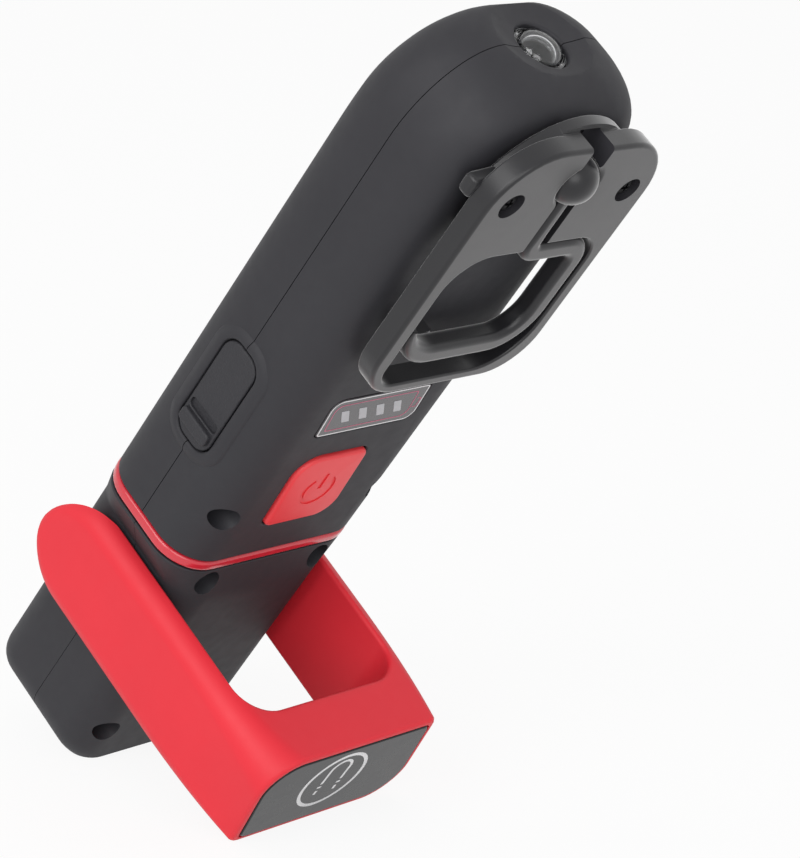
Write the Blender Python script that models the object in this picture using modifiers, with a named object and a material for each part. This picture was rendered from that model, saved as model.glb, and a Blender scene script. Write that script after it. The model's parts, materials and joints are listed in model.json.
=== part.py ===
"""Hand-held work light with a swinging magnetic stand and a folding hook.

The pieces are modelled upright, with the long axis on Z, the main light facing -Y and the
controls facing +Y. The finished assembly is then leaned over onto its stand, as it is used.
Left is +X and right is -X, as someone behind the light sees it.
"""
import math

import bmesh
import bpy
from mathutils import Matrix, Vector

MM = 0.001

# Clearances and walls
GAP = 0.3 * MM
WALL = 2.2 * MM
SPLIT = 0.3 * MM

# Lower block
GRIP_DEPTH = 34.6 * MM
GRIP_HEIGHT = 67.1 * MM
GRIP_CORNER = 7.5 * MM
GRIP_FOOT = 8.5 * MM
SHOULDER_RISE = 8.0 * MM
NECK_WALL = 1.6 * MM
NECK_STEP = 1.75 * MM
NECK_FLANGE = 2.2 * MM
NECK_FLANGE_HEIGHT = 1.8 * MM

# Head
HEAD_WIDTH = 55.0 * MM
HEAD_TAPER = 1.0 * MM
BODY_DEPTH = 31.6 * MM
EDGE_RADIUS = 9.8 * MM
CROWN_RISE = 22.4 * MM
CROWN_DRAW = 16.5 * MM
FRONT_RISE = 30.6 * MM
FRONT_DRAW = 6.1 * MM
TOP_EDGE = 11.0 * MM
HEAD_LENGTH = 129.7 * MM
BAND_HEIGHT = 2.6 * MM

# Swinging stand
PIVOT_Z = 45.0 * MM
ARM_WIDTH = 26.8 * MM
ARM_THICKNESS = 4.75 * MM
ARM_TIP = 20.8 * MM
ARM_EDGE = 4.6 * MM
TIP_EDGE = 2.2 * MM
BAIL_REACH = 59.3 * MM
BAIL_GAP = 0.5 * MM
BAR_CLEARANCE = 1.2 * MM
BAIL_CORNER = 8.0 * MM
LEAF_SHEAR = 4.6 * MM
LEAF_ROUND = 9.0 * MM
LEAF_SHARP = 1.8 * MM
LEAF_RUN = 32.0 * MM
RIM = 1.3 * MM
COVER_THICKNESS = 1.9 * MM
COVER_PROUD = 0.2 * MM
MAGNET_WIDTH = 31.0 * MM
MAGNET_HEIGHT = 12.0 * MM
MAGNET_THICKNESS = 6.0 * MM
PIN_RADIUS = 2.5 * MM
PIN_HEAD_RADIUS = 4.0 * MM
PIN_HEAD = 1.0 * MM
PIN_BOSS = 3.3 * MM
PIN_DEPTH = 2.6 * MM
WASHER_RADIUS = 6.0 * MM
WASHER_THICKNESS = 1.1 * MM

# Battery
CELL_RADIUS = 9.2 * MM
CELL_LENGTH = 65.0 * MM
CELL_FLOOR = 4.8 * MM
CONTACT_THICKNESS = 0.8 * MM
RIB_THICKNESS = 2.4 * MM
LEAD_RADIUS = 0.7 * MM
LEAD_OFFSET = 1.2 * MM

# Main light
LIGHT_Z = 70.5 * MM
REFLECTOR_WIDTH = 28.4 * MM
REFLECTOR_LENGTH = 82.0 * MM
REFLECTOR_RIM = 1.0 * MM
STRIP_WIDTH = 11.8 * MM
STRIP_LENGTH = 66.0 * MM
REFLECTOR_DEPTH = 4.9 * MM
REFLECTOR_DISH = 2.3 * MM
FLANGE_LIP = 2.2 * MM
FLANGE_THICKNESS = 1.1 * MM
WINDOW_THICKNESS = 1.1 * MM
PHOSPHOR_THICKNESS = 0.9 * MM
BOARD_THICKNESS = 1.4 * MM
SINK_THICKNESS = 2.0 * MM
BOARD_MARGIN = 3.0 * MM
SINK_MARGIN = 6.0 * MM

# End torch
TORCH_RADIUS = 6.3 * MM
TORCH_DOME = 5.6 * MM
TORCH_COLLAR = 2.2 * MM
TORCH_SINK = 0.5 * MM
TORCH_LIP = 2.2 * MM
TORCH_CUP = 10.4 * MM
TORCH_BOARD = 1.2 * MM
TORCH_THROAT = 2.3 * MM

# Controls
CONTROL_SHIFT = 1.9 * MM
BUTTON_Z = 20.2 * MM
BUTTON_WIDTH = 20.8 * MM
BUTTON_HEIGHT = 20.4 * MM
BUTTON_PROUD = 1.1 * MM
BUTTON_FLANGE = 1.0 * MM
BUTTON_TRAVEL = 1.0 * MM
PANEL_Z = 43.2 * MM
PANEL_WIDTH = 29.4 * MM
PANEL_HEIGHT = 10.8 * MM
PANEL_THICKNESS = 1.1 * MM
PANEL_LEDGE = 1.5 * MM
LED_PITCH = 5.1 * MM
LED_WIDTH = 2.0 * MM
LED_HEIGHT = 3.0 * MM
PCB_Y = 2.3 * MM
PCB_THICKNESS = 1.6 * MM
PCB_MARGIN = 9.6 * MM
PCB_LENGTH = 46.0 * MM
PCB_Z = 32.0 * MM
POST_RADIUS = 1.8 * MM
SWITCH_SIZE = 6.0 * MM
SWITCH_HEIGHT = 3.5 * MM
PLUNGER_RADIUS = 1.7 * MM
USB_Z = 35.7 * MM
USB_WIDTH = 10.4 * MM
USB_LENGTH = 26.0 * MM
USB_DEPTH = 1.5 * MM
USB_PROUD = 0.6 * MM
PORT_LENGTH = 7.5 * MM
PORT_HEIGHT = 2.7 * MM
PORT_DEPTH = 11.0 * MM

# Hanger on the rear
PLATE_MARGIN = 3.6 * MM
PLATE_LENGTH = 65.0 * MM
PLATE_TOP = 5.0 * MM
PLATE_THICKNESS = 5.4 * MM
PLATE_STANDOFF = 2.3 * MM
PLATE_UPPER_ROUND = 14.0 * MM
PLATE_LOWER_ROUND = 11.0 * MM
TIER_MARGIN = 2.4 * MM
TIER_DROP = 24.4 * MM
LUG_LENGTH = 8.0 * MM
LUG_PROUD = 1.8 * MM
HOOK_DROP = 14.7 * MM
BALL_RADIUS = 5.2 * MM
HOOK_BAR = 4.8 * MM
HOOK_THICKNESS = 4.8 * MM
HOOK_NECK = 18.9 * MM
HOOK_REACH = 48.0 * MM
HOOK_RIGHT_MARGIN = 3.7 * MM
HOOK_TIP = 36.0 * MM
HOOK_SLACK = 0.6 * MM
OPENING_MARGIN = 3.6 * MM
OPENING_TOP = 17.5 * MM
OPENING_BOTTOM = 52.7 * MM
PLATE_SCREW_MARGIN = 6.4 * MM
PLATE_SCREW_DROP = 3.1 * MM

# Screws
SCREW_SHANK = 1.25 * MM
SCREW_HEAD = 2.4 * MM
SCREW_HEAD_HEIGHT = 1.8 * MM
SCREW_BOSS = 3.7 * MM
HEAD_SCREW_MARGIN = 5.0 * MM
HEAD_SCREW_Z = 13.0 * MM
HEAD_SCREW_LENGTH = 14.0 * MM
GRIP_SCREW_MARGIN = 5.45 * MM
GRIP_SCREW_LOW = 13.5 * MM
GRIP_SCREW_TOP = 3.6 * MM
GRIP_SCREW_LENGTH = 16.0 * MM
PLATE_SCREW_LENGTH = 12.0 * MM
SCREW_SEAT = 7.0 * MM
BOSS_HOLE = SCREW_SHANK + GAP
SEAT_HOLE = SCREW_HEAD + 2 * GAP

# Round shapes
CORNER_STEPS = 6
ROUND_STEPS = 24
SMALL_STEPS = 16
CROWN_STEPS = 10
FAR = 200.0 * MM

# Pieces with long runs of cuts, which only the Manifold solver keeps closed
MANY_CUTS = ("front_shell", "rear_shell", "grip_front", "grip_rear", "hook_plate")

# Places that follow from the driving dimensions
BODY_WIDTH = HEAD_WIDTH - HEAD_TAPER
GRIP_WIDTH = BODY_WIDTH - 2 * (ARM_THICKNESS + BAIL_GAP)
PLATE_WIDTH = BODY_WIDTH - 2 * PLATE_MARGIN
PCB_WIDTH = BODY_WIDTH - 2 * PCB_MARGIN
HALF_GRIP = GRIP_WIDTH / 2
HALF_DEPTH = BODY_DEPTH / 2
BAND_BASE = GRIP_HEIGHT + GAP
HEAD_BASE = BAND_BASE + BAND_HEIGHT + GAP
HEAD_TOP = HEAD_BASE + HEAD_LENGTH
HEAD_FLOOR = HEAD_BASE + WALL
REAR = HALF_DEPTH
REAR_INNER = HALF_DEPTH - WALL
FRONT = -HALF_DEPTH
FRONT_INNER = WALL - HALF_DEPTH
NECK_HALF_X = HALF_GRIP - NECK_STEP
NECK_HALF_Y = CELL_RADIUS + GAP + NECK_WALL
ARM_HALF = ARM_WIDTH / 2
ARM_INNER = HALF_GRIP + BAIL_GAP
HALF_BODY = BODY_WIDTH / 2
FLARE_BASE = PIVOT_Z + ARM_HALF + GAP / 2
FLARE_TOP = FLARE_BASE + SHOULDER_RISE
BAR_INNER = PIVOT_Z + BAR_CLEARANCE
PIVOT = Vector((0, 0, PIVOT_Z))
PLATE_BACK = REAR + GAP + PLATE_STANDOFF
PLATE_FACE = PLATE_BACK + PLATE_THICKNESS
PLATE_TOP_Z = HEAD_TOP - PLATE_TOP
BALL = Vector((0, PLATE_FACE - HOOK_THICKNESS / 2, HEAD_TOP - HOOK_DROP))
HOOK_RIGHT = PLATE_WIDTH / 2 - HOOK_RIGHT_MARGIN
OPENING_LEFT = PLATE_WIDTH / 2 - OPENING_MARGIN
HOOK_LEFT = OPENING_LEFT - HOOK_SLACK
TIER_RADIUS = PLATE_WIDTH / 2 - TIER_MARGIN
PLATE_SCREW_X = PLATE_WIDTH / 2 - PLATE_SCREW_MARGIN
PLATE_SCREW_Z = BALL.z - PLATE_SCREW_DROP
BUTTON_CENTRE = HEAD_BASE + BUTTON_Z
PANEL_CENTRE = HEAD_BASE + PANEL_Z
USB_CENTRE = HEAD_BASE + USB_Z
LIGHT_CENTRE = HEAD_BASE + LIGHT_Z
PCB_CENTRE = HEAD_BASE + PCB_Z
PCB_REAR = PCB_Y + PCB_THICKNESS
HEAD_SCREW_X = HALF_BODY - HEAD_SCREW_MARGIN
HEAD_SCREW_HEIGHT = HEAD_BASE + HEAD_SCREW_Z
GRIP_SCREW_X = HALF_GRIP - GRIP_SCREW_MARGIN
CELL_TOP = CELL_FLOOR + CELL_LENGTH
LEAD_X = CELL_RADIUS + LEAD_OFFSET

COLOURS = {
    "soft_black": ((0.045, 0.045, 0.048), 0.62, 0.0),
    "satin_grey": ((0.105, 0.105, 0.11), 0.42, 0.0),
    "red_rubber": ((0.72, 0.045, 0.06), 0.5, 0.0),
    "red_gloss": ((0.5, 0.02, 0.035), 0.2, 0.0),
    "white_reflector": ((0.78, 0.79, 0.81), 0.35, 0.0),
    "clear": ((0.85, 0.88, 0.9), 0.08, 0.0),
    "phosphor": ((0.8, 0.83, 0.14), 0.5, 0.0),
    "aluminium": ((0.7, 0.71, 0.72), 0.35, 1.0),
    "steel": ((0.55, 0.56, 0.57), 0.3, 1.0),
    "board": ((0.02, 0.16, 0.07), 0.5, 0.0),
    "chip_white": ((0.75, 0.76, 0.78), 0.4, 0.0),
    "panel_grey": ((0.2, 0.21, 0.22), 0.25, 0.0),
    "cover_grey": ((0.1, 0.105, 0.11), 0.3, 0.0),
    "cell_wrap": ((0.06, 0.2, 0.45), 0.4, 0.0),
    "lead_red": ((0.6, 0.03, 0.03), 0.45, 0.0),
    "lead_black": ((0.03, 0.03, 0.03), 0.45, 0.0),
}


# Scene and objects

def clear_scene():
    for item in list(bpy.data.objects):
        bpy.data.objects.remove(item, do_unlink=True)
    for group in list(bpy.data.collections):
        bpy.data.collections.remove(group)


def new_collection(name):
    group = bpy.data.collections.new(name)
    bpy.context.scene.collection.children.link(group)
    return group


def make_materials():
    made = {}
    for name, (colour, roughness, metallic) in COLOURS.items():
        material = bpy.data.materials.new(name)
        material.use_nodes = True
        shader = material.node_tree.nodes["Principled BSDF"]
        shader.inputs["Base Color"].default_value = (*colour, 1.0)
        shader.inputs["Roughness"].default_value = roughness
        shader.inputs["Metallic"].default_value = metallic
        made[name] = material
    return made


clear_scene()
PARTS = new_collection("work_light")
CUTTERS = new_collection("work_light_cutters")
MATERIALS = make_materials()


def add_object(name, mesh, material=None):
    """A part when it has a material, and otherwise a cutter."""
    item = bpy.data.objects.new(name, mesh)
    if material:
        mesh.materials.append(MATERIALS[material])
        PARTS.objects.link(item)
    else:
        item.hide_render = True
        item.display_type = "WIRE"
        CUTTERS.objects.link(item)
    return item


def finish_mesh(name, bm, material):
    bmesh.ops.recalc_face_normals(bm, faces=bm.faces)
    mesh = bpy.data.meshes.new(name)
    bm.to_mesh(mesh)
    bm.free()
    mesh.shade_smooth()
    mesh.set_sharp_from_angle(angle=math.radians(35))
    return add_object(name, mesh, material)


def boolean(item, other, operation="DIFFERENCE"):
    modifier = item.modifiers.new(operation.lower() + "_" + other.name, "BOOLEAN")
    modifier.operation = operation
    modifier.object = other
    modifier.solver = "MANIFOLD" if item.name in MANY_CUTS else "EXACT"


def cut_all(item, cutters):
    for cutter in cutters:
        boolean(item, cutter)


def set_origin(item, point):
    item.data.transform(Matrix.Translation(-point))
    item.location = point


# Outlines

def fillet(corners, closed=True, steps=CORNER_STEPS):
    """Points along a path of corners (a, b, radius), with an arc of steps at each inner corner."""
    points = []
    count = len(corners)
    for index, (a, b, radius) in enumerate(corners):
        here = Vector((a, b))
        if not closed and index in (0, count - 1):
            points.append(here)
            continue
        before = Vector(corners[index - 1][:2]) - here
        after = Vector(corners[(index + 1) % count][:2]) - here
        before.normalize()
        after.normalize()
        half = before.angle(after) / 2
        centre = here + (before + after).normalized() * (radius / math.sin(half))
        start = here + before * (radius / math.tan(half)) - centre
        end = here + after * (radius / math.tan(half)) - centre
        turn = start.angle_signed(end)
        for step in range(steps + 1):
            spin = Matrix.Rotation(-turn * step / steps, 2)
            points.append(centre + spin @ start)
    return points


def rounded_rect(half_a, half_b, radius, steps=CORNER_STEPS):
    corners = [(half_a, half_b, radius), (-half_a, half_b, radius)]
    corners += [(-half_a, -half_b, radius), (half_a, -half_b, radius)]
    return fillet(corners, steps=steps)


def stadium(half_a, half_b):
    return rounded_rect(half_a, half_b, half_a * 0.999, steps=2 * CORNER_STEPS)


def leaf(half_a, half_b, rounds, shear=0.0, inset=0.0):
    """Four-sided outline whose first and third corners are round and the others sharp."""
    large = max(rounds[0] - inset, rounds[1] * 0.5)
    small = max(rounds[1] - inset, rounds[1] * 0.5)
    a = half_a - inset
    b = half_b - inset
    corners = [(a, b, large), (shear - a, b, small), (-a, -b, large), (a - shear, -b, small)]
    return fillet(corners)


def lifted(outline, axis, level):
    """The outline as 3-D points in the plane where the axis has that level."""
    if axis == "X":
        return [Vector((level, a, b)) for a, b in outline]
    if axis == "Y":
        return [Vector((a, level, b)) for a, b in outline]
    return [Vector((a, b, level)) for a, b in outline]


def shifted(outline, a, b):
    return [Vector((point[0] + a, point[1] + b)) for point in outline]


# Solids

def loft(name, rings, material=None):
    """Closed solid through rings of equal point counts."""
    bm = bmesh.new()
    rows = [[bm.verts.new(point) for point in ring] for ring in rings]
    count = len(rows[0])
    for lower, upper in zip(rows, rows[1:]):
        for index in range(count):
            following = (index + 1) % count
            bm.faces.new((lower[index], lower[following], upper[following], upper[index]))
    bm.faces.new(rows[0])
    bm.faces.new(rows[-1])
    return finish_mesh(name, bm, material)


def prism(name, outline, axis, low, high, material=None):
    """Flat outline drawn out along an axis."""
    bm = bmesh.new()
    face = bm.faces.new([bm.verts.new(point) for point in lifted(outline, axis, low)])
    drawn = bmesh.ops.extrude_face_region(bm, geom=[face])
    moved = [item for item in drawn["geom"] if isinstance(item, bmesh.types.BMVert)]
    offset = lifted([(0, 0)], axis, high - low)[0]
    bmesh.ops.translate(bm, verts=moved, vec=offset)
    return finish_mesh(name, bm, material)


def block(name, low, high, material=None):
    """Box between two corners."""
    bm = bmesh.new()
    bmesh.ops.create_cube(bm, size=1.0)
    low = Vector(low)
    high = Vector(high)
    bmesh.ops.scale(bm, verts=bm.verts, vec=high - low)
    bmesh.ops.translate(bm, verts=bm.verts, vec=(low + high) / 2)
    return finish_mesh(name, bm, material)


def turned(name, profile, axis, place, material=None, steps=SMALL_STEPS, ring=False):
    """Solid turned about an axis through place, from (radius, height) points down its outer side."""
    bm = bmesh.new()
    verts = [bm.verts.new((radius, 0, height)) for radius, height in profile]
    for first, second in zip(verts, verts[1:]):
        bm.edges.new((first, second))
    if ring:
        bm.edges.new((verts[-1], verts[0]))
    mesh = bpy.data.meshes.new(name)
    bm.to_mesh(mesh)
    bm.free()
    item = add_object(name, mesh, material)
    screw = item.modifiers.new("turn", "SCREW")
    screw.steps = steps
    screw.render_steps = steps
    screw.use_merge_vertices = True
    screw.merge_threshold = 0.01 * MM
    screw.use_smooth_shade = True
    item.location = place
    item.rotation_euler = {"X": (0, math.pi / 2, 0), "Y": (-math.pi / 2, 0, 0), "Z": (0, 0, 0)}[axis]
    return item


def rod(name, axis, place, radius, low, high, steps=SMALL_STEPS):
    """Round cutter or boss along an axis, from low to high measured from place."""
    return turned(name, [(0, high), (radius, high), (radius, low), (0, low)], axis, place, steps=steps)


# Head casing

def head_half_width(height):
    share = (height - HEAD_BASE) / HEAD_LENGTH
    return (BODY_WIDTH + (HEAD_WIDTH - BODY_WIDTH) * share) / 2


def drawn_in(height, top, rise, draw):
    """How far an end that is rounded over that rise has drawn in at a height."""
    share = min(max(height - (top - rise), 0.0) / rise, 1.0)
    return draw * (1 - math.sqrt(1 - share ** 2))


def head_ring(height, inset):
    """Section of the head, whose front slopes back further than its rear towards the top."""
    top = HEAD_TOP - inset
    crown = drawn_in(height, top, CROWN_RISE - inset, CROWN_DRAW - inset)
    half_x = head_half_width(height) - inset - crown
    front = inset - HALF_DEPTH + drawn_in(height, top, FRONT_RISE - inset, FRONT_DRAW - inset)
    rear = HALF_DEPTH - inset - drawn_in(height, top, TOP_EDGE - inset, TOP_EDGE - inset)
    half_y = (rear - front) / 2
    radius = min(EDGE_RADIUS - inset, half_y * 0.98)
    return lifted(shifted(rounded_rect(half_x, half_y, radius), 0, (front + rear) / 2), "Z", height)


def head_solid(name, base, inset, material=None):
    spring = HEAD_TOP - FRONT_RISE
    crown = FRONT_RISE - inset
    heights = [base, (base + spring) / 2]
    for step in range(CROWN_STEPS + 1):
        heights.append(spring + crown * math.sin(math.pi / 2 * step / CROWN_STEPS))
    return loft(name, [head_ring(height, inset) for height in heights], material)


def half_space(name, front):
    """Everything in front of the parting plane, or behind it."""
    if front:
        return block(name, (-FAR, -FAR, -FAR), (FAR, -SPLIT / 2, 2 * FAR))
    return block(name, (-FAR, SPLIT / 2, -FAR), (FAR, FAR, 2 * FAR))


def head_casing():
    """The two shells, with bosses left standing in their cavities."""
    sides = (("left", 1), ("right", -1))
    seat = REAR - SCREW_SEAT
    front_bosses = []
    rear_bosses = []
    front_holes = []
    rear_holes = []
    for side, sign in sides:
        place = Vector((sign * HEAD_SCREW_X, 0, HEAD_SCREW_HEIGHT))
        reach = HEAD_SCREW_LENGTH - seat
        front_bosses.append(rod("front_boss_" + side, "Y", place, SCREW_BOSS, -FAR, 0))
        rear_bosses.append(rod("rear_boss_" + side, "Y", place, SCREW_BOSS, 0, FAR))
        front_holes.append(rod("front_hole_" + side, "Y", place, BOSS_HOLE, -reach - GAP, 1.0 * MM))
        rear_holes.append(rod("rear_hole_" + side, "Y", place, BOSS_HOLE, -1.0 * MM, seat + GAP))
        rear_holes.append(rod("rear_seat_" + side, "Y", place, SEAT_HOLE, seat, FAR))
        place = Vector((sign * PLATE_SCREW_X, 0, PLATE_SCREW_Z))
        depth = PLATE_FACE - PLATE_THICKNESS / 2 - PLATE_SCREW_LENGTH
        rear_bosses.append(rod("plate_boss_" + side, "Y", place, SCREW_BOSS, depth, FAR))
        rear_holes.append(rod("plate_pilot_" + side, "Y", place, BOSS_HOLE, 0, FAR))
        upper = PCB_CENTRE + PCB_LENGTH / 2 - POST_RADIUS
        lower = PANEL_CENTRE - PANEL_HEIGHT / 2 - 2 * POST_RADIUS
        for name, height in (("upper_post_", upper), ("lower_post_", lower)):
            place = Vector((sign * (PCB_WIDTH / 2 - POST_RADIUS), 0, height))
            rear_bosses.append(rod(name + side, "Y", place, POST_RADIUS, PCB_REAR + GAP, FAR))

    collar_base = torch_levels()["board"] - GAP
    collar_radius = TORCH_RADIUS + GAP + TORCH_COLLAR
    place = Vector((0, 0, 0))
    for name, bosses in (("front", front_bosses), ("rear", rear_bosses)):
        bosses.append(rod(name + "_collar", "Z", place, collar_radius, collar_base, HEAD_TOP, ROUND_STEPS))
    lip = HEAD_TOP - TORCH_LIP
    bore = rod("torch_bore", "Z", place, TORCH_RADIUS + GAP, collar_base - GAP, lip, ROUND_STEPS)
    mouth = rod("torch_mouth", "Z", place, TORCH_DOME + GAP, lip - GAP, FAR * 2, ROUND_STEPS)
    neck_hole = prism("neck_hole", rounded_rect(NECK_HALF_X + GAP, NECK_HALF_Y + GAP, NECK_HALF_Y / 2),
                      "Z", HEAD_BASE - WALL, HEAD_FLOOR + WALL)
    usb_outer = head_half_width(USB_CENTRE)
    usb_recess = prism("usb_recess", flap_outline(GAP), "X", usb_outer - USB_DEPTH, FAR)
    port_middle = PCB_Y - GAP - PORT_HEIGHT / 2
    port_half = PORT_LENGTH / 2 + 2 * GAP
    port = block("usb_port", (usb_outer - 2 * WALL, port_middle - PORT_HEIGHT, USB_CENTRE - port_half),
                 (FAR, port_middle + PORT_HEIGHT, USB_CENTRE + port_half))

    shared = [bore, mouth, neck_hole, usb_recess, port]
    shells = {}
    for name, bosses, holes in (("front", front_bosses, front_holes), ("rear", rear_bosses, rear_holes)):
        cavity = head_solid(name + "_cavity", HEAD_FLOOR, WALL)
        cut_all(cavity, bosses)
        shell = head_solid(name + "_shell", HEAD_BASE, 0.0, "soft_black")
        boolean(shell, cavity)
        boolean(shell, half_space(name + "_half", name == "front"), "INTERSECT")
        cut_all(shell, shared + holes)
        shells[name] = shell

    opening = shifted(stadium(REFLECTOR_WIDTH / 2 + GAP, REFLECTOR_LENGTH / 2 + GAP), 0, LIGHT_CENTRE)
    boolean(shells["front"], prism("light_opening", opening, "Y", -FAR, FRONT_INNER + WALL))
    seat = stadium(REFLECTOR_WIDTH / 2 + FLANGE_LIP + GAP, REFLECTOR_LENGTH / 2 + FLANGE_LIP + GAP)
    seat = shifted(seat, 0, LIGHT_CENTRE)
    boolean(shells["front"], prism("flange_seat", seat, "Y", FRONT_INNER + GAP / 2, FRONT_INNER + WALL))
    boolean(shells["rear"], prism("button_opening", button_outline(GAP), "Y", REAR_INNER - WALL, FAR))
    boolean(shells["rear"], prism("panel_recess", panel_outline(GAP), "Y", panel_back() - GAP, FAR))
    boolean(shells["rear"], prism("panel_window", panel_outline(-PANEL_LEDGE), "Y", REAR_INNER - WALL, FAR))


def band():
    outer = rounded_rect(HALF_BODY, HALF_DEPTH, EDGE_RADIUS)
    ring = prism("seam_band", outer, "Z", BAND_BASE, BAND_BASE + BAND_HEIGHT, "red_gloss")
    inner = rounded_rect(NECK_HALF_X + GAP, NECK_HALF_Y + GAP, NECK_HALF_Y / 2)
    boolean(ring, prism("band_hole", inner, "Z", BAND_BASE - WALL, BAND_BASE + BAND_HEIGHT + WALL))


# Screws

def screw(name, x, z, under_head, length):
    """Round-headed screw driven towards -Y, with the underside of its head at under_head."""
    profile = [(0, SCREW_HEAD_HEIGHT), (SCREW_HEAD * 0.8, SCREW_HEAD_HEIGHT)]
    profile += [(SCREW_HEAD, SCREW_HEAD_HEIGHT * 0.6), (SCREW_HEAD, 0)]
    profile += [(SCREW_SHANK, 0), (SCREW_SHANK, -length), (0, -length)]
    turned(name, profile, "Y", Vector((x, under_head, z)), "steel", steps=SMALL_STEPS)


def screws():
    for side, sign in (("left", 1), ("right", -1)):
        under = REAR - SCREW_SEAT + GAP
        screw("head_screw_" + side, sign * HEAD_SCREW_X, HEAD_SCREW_HEIGHT, under, HEAD_SCREW_LENGTH)
        under = PLATE_FACE - PLATE_THICKNESS / 2 + GAP
        screw("hook_screw_" + side, sign * PLATE_SCREW_X, PLATE_SCREW_Z, under, PLATE_SCREW_LENGTH)
    for index, (x, z) in enumerate(grip_screw_places()):
        screw("grip_screw_" + str(index + 1), x, z, grip_seat() + GAP, GRIP_SCREW_LENGTH)


# Main light

def main_light():
    back = FRONT + REFLECTOR_DEPTH - GAP / 3
    half_a = REFLECTOR_WIDTH / 2
    half_b = REFLECTOR_LENGTH / 2
    strip_a = STRIP_WIDTH / 2
    strip_b = STRIP_LENGTH / 2
    throat = FRONT + REFLECTOR_DISH
    flange = FRONT_INNER + GAP

    def outline(a, b, level):
        return lifted(shifted(stadium(a, b), 0, LIGHT_CENTRE), "Y", level)

    rings = [outline(half_a, half_b, FRONT - GAP / 3), outline(half_a, half_b, flange)]
    rings += [outline(half_a + FLANGE_LIP, half_b + FLANGE_LIP, flange)]
    rings += [outline(half_a + FLANGE_LIP, half_b + FLANGE_LIP, flange + FLANGE_THICKNESS)]
    rings += [outline(half_a, half_b, flange + FLANGE_THICKNESS), outline(half_a, half_b, back)]
    tray = loft("reflector", rings, "white_reflector")
    lip = half_a - REFLECTOR_RIM - strip_a
    slope = lip / REFLECTOR_DISH
    spread = slope * WALL - REFLECTOR_RIM
    dish = [outline(half_a + spread, half_b + spread, FRONT - WALL)]
    dish += [outline(strip_a, strip_b, throat), outline(strip_a, strip_b, back + WALL)]
    boolean(tray, loft("reflector_dish", dish))

    board = back + GAP
    for name, inset, low, thickness, material in (
            ("cob_window", GAP, throat + GAP, WINDOW_THICKNESS, "clear"),
            ("cob_phosphor", 2 * GAP, board - GAP - PHOSPHOR_THICKNESS, PHOSPHOR_THICKNESS, "phosphor")):
        rings = [outline(strip_a - inset, strip_b - inset, low)]
        rings += [outline(strip_a - inset, strip_b - inset, low + thickness)]
        loft(name, rings, material)
    for name, margin, low, thickness in (
            ("cob_board", BOARD_MARGIN, board, BOARD_THICKNESS),
            ("heat_sink", SINK_MARGIN, board + BOARD_THICKNESS + GAP, SINK_THICKNESS)):
        half = rounded_rect(strip_a + margin, strip_b + margin, margin)
        prism(name, shifted(half, 0, LIGHT_CENTRE), "Y", low, low + thickness, "aluminium")


# End torch

def torch_levels():
    """Heights of the torch's pieces, down from the lip at the head's top."""
    flange = HEAD_TOP - TORCH_LIP - GAP
    cup = flange - GAP - TORCH_BOARD
    base = cup - GAP - TORCH_CUP
    return {"flange": flange, "cup": cup, "base": base, "board": base - GAP - TORCH_BOARD}


def torch():
    levels = torch_levels()
    flange = levels["flange"]
    crown = HEAD_TOP - TORCH_SINK
    profile = [(0, crown)]
    for step in range(1, 6):
        angle = math.pi / 2 * step / 5
        profile.append((TORCH_DOME * math.sin(angle), flange + (crown - flange) * math.cos(angle)))
    profile += [(TORCH_RADIUS, flange), (TORCH_RADIUS, flange - TORCH_BOARD), (0, flange - TORCH_BOARD)]
    turned("torch_lens", profile, "Z", Vector((0, 0, 0)), "clear", ROUND_STEPS)

    cup = levels["cup"]
    base = levels["base"]
    profile = [(TORCH_RADIUS - WALL / 3, cup), (TORCH_RADIUS, cup)]
    profile += [(TORCH_RADIUS, base), (TORCH_THROAT, base)]
    for step in range(1, 5):
        share = step / 5
        radius = TORCH_THROAT + (TORCH_RADIUS - WALL / 3 - TORCH_THROAT) * math.sqrt(share)
        profile.append((radius, base + (cup - base) * share))
    turned("torch_reflector", profile, "Z", Vector((0, 0, 0)), "aluminium", ROUND_STEPS, ring=True)

    board = levels["board"]
    die = TORCH_THROAT - 2 * GAP
    top = base + TORCH_BOARD
    profile = [(0, top), (die, top), (die, base - GAP), (TORCH_RADIUS, base - GAP)]
    profile += [(TORCH_RADIUS, board), (0, board)]
    turned("torch_led", profile, "Z", Vector((0, 0, 0)), "chip_white", ROUND_STEPS)


# Controls

def button_outline(grow):
    rounds = (BUTTON_WIDTH / 4, BUTTON_WIDTH / 11)
    outline = leaf(BUTTON_WIDTH / 2, BUTTON_HEIGHT / 2, rounds, BUTTON_WIDTH / 14, -grow)
    return shifted(outline, CONTROL_SHIFT, BUTTON_CENTRE)


def panel_outline(grow):
    rounds = (PANEL_HEIGHT / 4, PANEL_HEIGHT / 10)
    outline = leaf(PANEL_WIDTH / 2, PANEL_HEIGHT / 2, rounds, PANEL_HEIGHT / 10, -grow)
    return shifted(outline, 0, PANEL_CENTRE)


def flap_outline(grow):
    outline = rounded_rect(USB_WIDTH / 2 + grow, USB_LENGTH / 2 + grow, USB_WIDTH / 4)
    return shifted(outline, 0, USB_CENTRE)


def panel_back():
    return REAR - PANEL_THICKNESS + GAP / 3


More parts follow.
